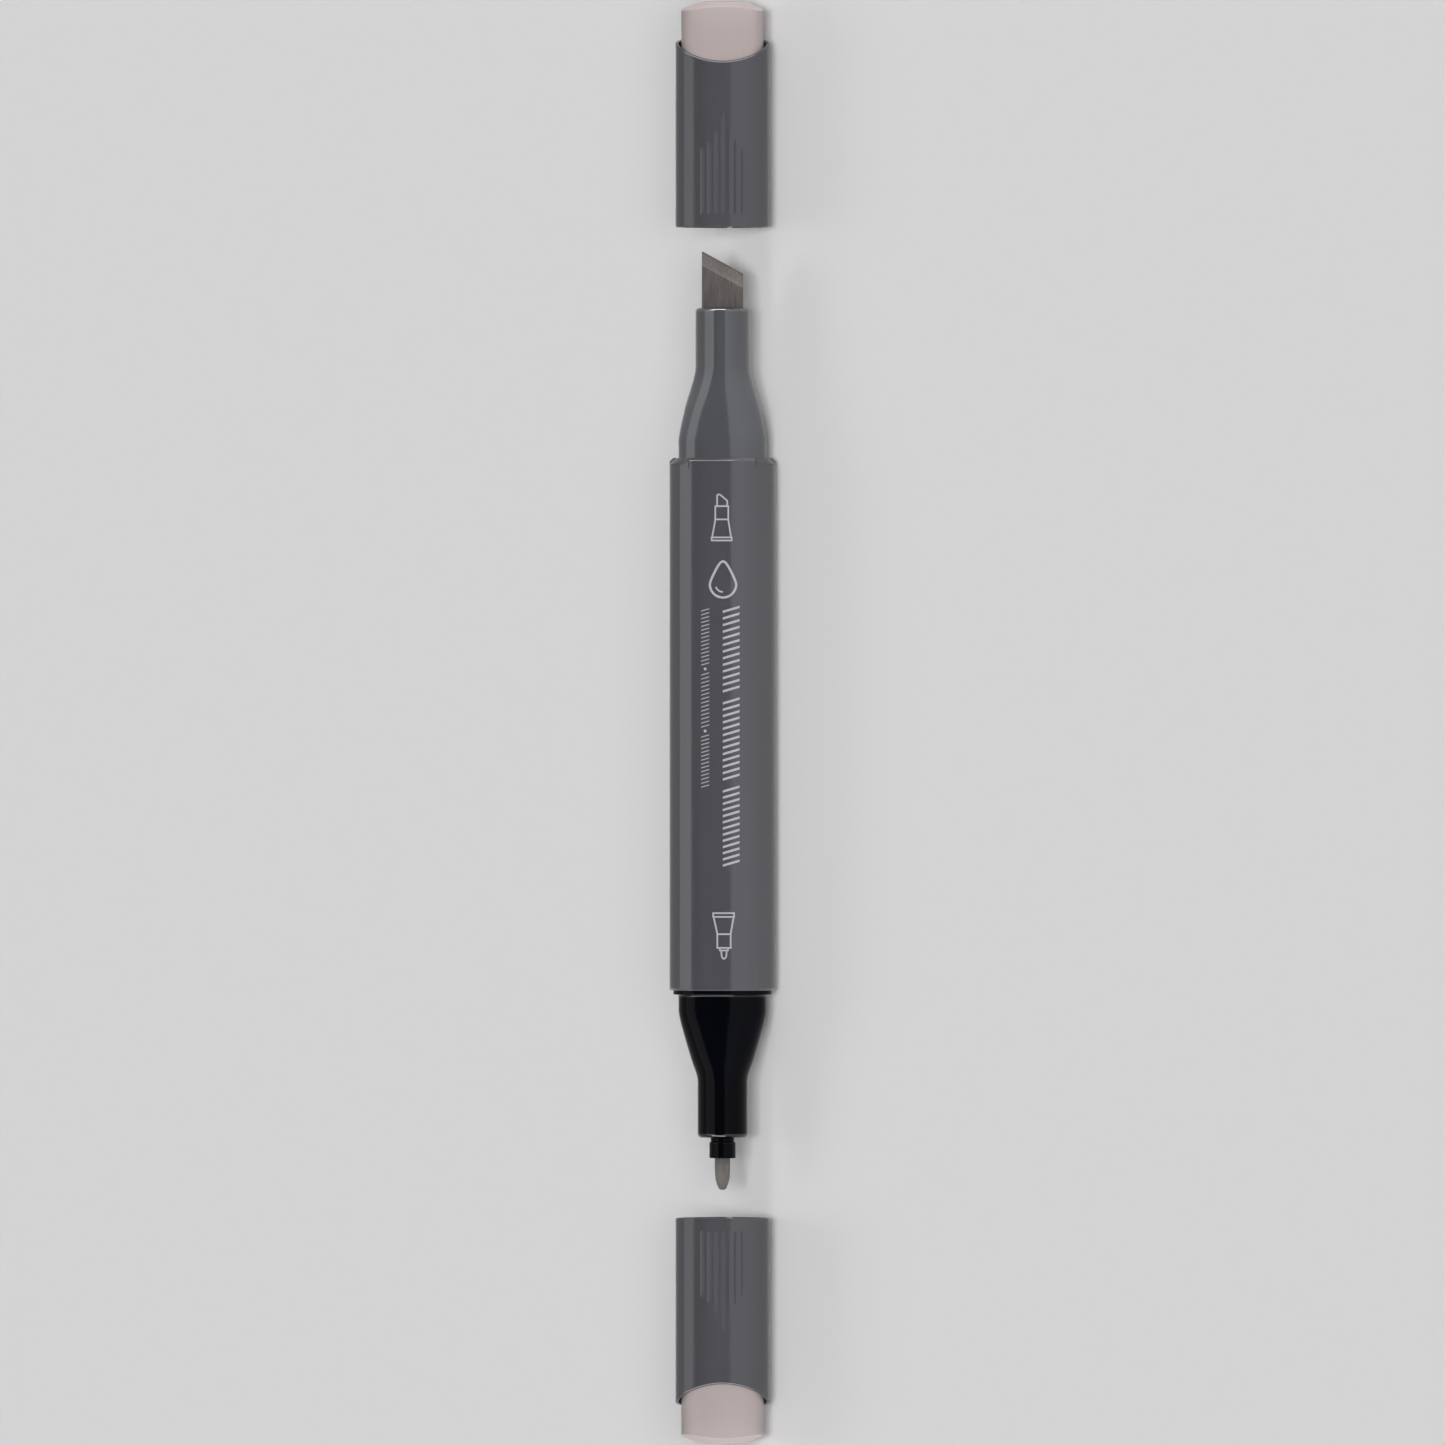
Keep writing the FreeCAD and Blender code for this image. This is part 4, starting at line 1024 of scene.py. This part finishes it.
def strip_light(name, distance, low, high, long, radiance, diffuse=True, glossy=True):
    """A long softbox parallel to the marker.

    Seen from the marker it fills the angles from low to high, in degrees
    round the marker's axis from the +X horizon over the top.
    """
    mid, half = math.radians((low + high) / 2), math.radians((high - low) / 2)
    wide = 2 * distance * math.tan(half)
    data = bpy.data.lights.new(name, "AREA")
    data.shape = "RECTANGLE"
    data.size, data.size_y = wide, long
    data.energy = radiance * math.pi * wide * long
    ob = bpy.data.objects.new(name, data)
    scene.collection.objects.link(ob)
    z = Vector((math.cos(mid), 0, math.sin(mid)))
    yax = Vector((0, 1, 0))
    ob.matrix_world = (Matrix.Translation(z * distance)
                       @ Matrix((yax.cross(z), yax, z)).transposed().to_4x4())
    ob.visible_camera = False
    ob.visible_diffuse = diffuse
    ob.visible_glossy = glossy
    return ob


def far_softbox(name, azimuth, elevation, spread, level):
    """A round softbox so far off that it lights the whole floor evenly."""
    data = bpy.data.lights.new(name, "SUN")
    data.angle = math.radians(spread)
    data.energy = level * math.pi
    ob = bpy.data.objects.new(name, data)
    scene.collection.objects.link(ob)
    az, el = math.radians(azimuth), math.radians(elevation)
    z = Vector((math.cos(az) * math.cos(el), math.sin(az) * math.cos(el), math.sin(el)))
    ob.rotation_euler = z.to_track_quat("Z", "Y").to_euler()
    ob.visible_glossy = False
    return ob


def end_softbox(name, end):
    """A softbox past one end, seen only in the rims and lips that face it."""
    way = Vector(0.40 * W - 0.25 * U + end * 0.87 * Y).normalized()
    wide, high = 1.35, 0.62
    data = bpy.data.lights.new(name, "AREA")
    data.shape = "RECTANGLE"
    data.size, data.size_y = wide, high
    data.energy = 6.5 * math.pi * wide * high
    ob = bpy.data.objects.new(name, data)
    scene.collection.objects.link(ob)
    across = Vector(U) - way * way.dot(Vector(U))
    across.normalize()
    ob.matrix_world = (Matrix.Translation(way * 1.5)
                       @ Matrix((across, way.cross(across), way)).transposed().to_4x4())
    ob.visible_camera = False
    ob.visible_diffuse = False
    return ob


# highlights: a long softbox overhead and one past each end. Modelling: a big
# soft light beside the camera, a low one towards each end, a weak one behind
strip_light("overhead_softbox", 2.0, 67, 111, 4.0, 1.05, diffuse=False)
end_softbox("end_softbox_a", 1)
end_softbox("end_softbox_b", -1)
for name, elevation, level in (("low", 24, 0.25), ("mid", 36, 0.36), ("high", 48, 0.27)):
    # a tall narrow softbox: soft across the marker, crisper along it
    far_softbox("front_softbox_" + name, 0, elevation, 13, level)
far_softbox("low_softbox_a", 82.5, 3.2, 5, 0.92)
far_softbox("low_softbox_b", -82.5, 3.2, 5, 0.92)
far_softbox("back_softbox", 180, 29, 22, 0.15)

world_ = bpy.data.worlds.new("studio")
scene.world = world_
world_.use_nodes = True
nt = world_.node_tree
bg = nt.nodes["Background"]
tc = add(nt, "ShaderNodeTexCoord")
sep = add(nt, "ShaderNodeSeparateXYZ")
nt.links.new(tc.outputs["Generated"], sep.inputs["Vector"])


def step(source, edge0, edge1):
    """1 beyond edge1, 0 before edge0 (the edges may run either way)."""
    m = add(nt, "ShaderNodeMapRange")
    m.inputs["From Min"].default_value = edge0
    m.inputs["From Max"].default_value = edge1
    nt.links.new(sep.outputs[source], m.inputs["Value"])
    return m.outputs["Result"]


def product(a, b):
    m = add(nt, "ShaderNodeMath", operation="MULTIPLY")
    nt.links.new(a, m.inputs[0])
    nt.links.new(b, m.inputs[1])
    return m.outputs["Value"]


def blend(fac, colour, under):
    m = add(nt, "ShaderNodeMixRGB")
    m.inputs["Color2"].default_value = (*colour, 1.0)
    nt.links.new(fac, m.inputs["Fac"])
    nt.links.new(under, m.inputs["Color1"])
    return m.outputs["Color"]


# reflections see a white wall up to 20 degrees on the camera's side, a grey
# one behind, and a dim room elsewhere; diffuse light sees an even fill
dim = add(nt, "ShaderNodeRGB")
dim.outputs[0].default_value = (0.09, 0.09, 0.10, 1.0)
fill = add(nt, "ShaderNodeRGB")
fill.outputs[0].default_value = (0.133, 0.133, 0.133, 1.0)
room = blend(product(step("X", 0.24, 0.30), step("Z", 0.350, 0.335)), (0.74, 0.74, 0.75), dim.outputs[0])
room = blend(product(step("X", -0.30, -0.40), step("Z", 0.955, 0.93)), (0.48, 0.48, 0.49), room)
lp = add(nt, "ShaderNodeLightPath")
sky = add(nt, "ShaderNodeMixRGB")
nt.links.new(lp.outputs["Is Glossy Ray"], sky.inputs["Fac"])
nt.links.new(fill.outputs[0], sky.inputs["Color1"])
nt.links.new(room, sky.inputs["Color2"])
nt.links.new(blend(lp.outputs["Is Camera Ray"], (0.658, 0.658, 0.658), sky.outputs["Color"]), bg.inputs["Color"])
bg.inputs["Strength"].default_value = 1.0
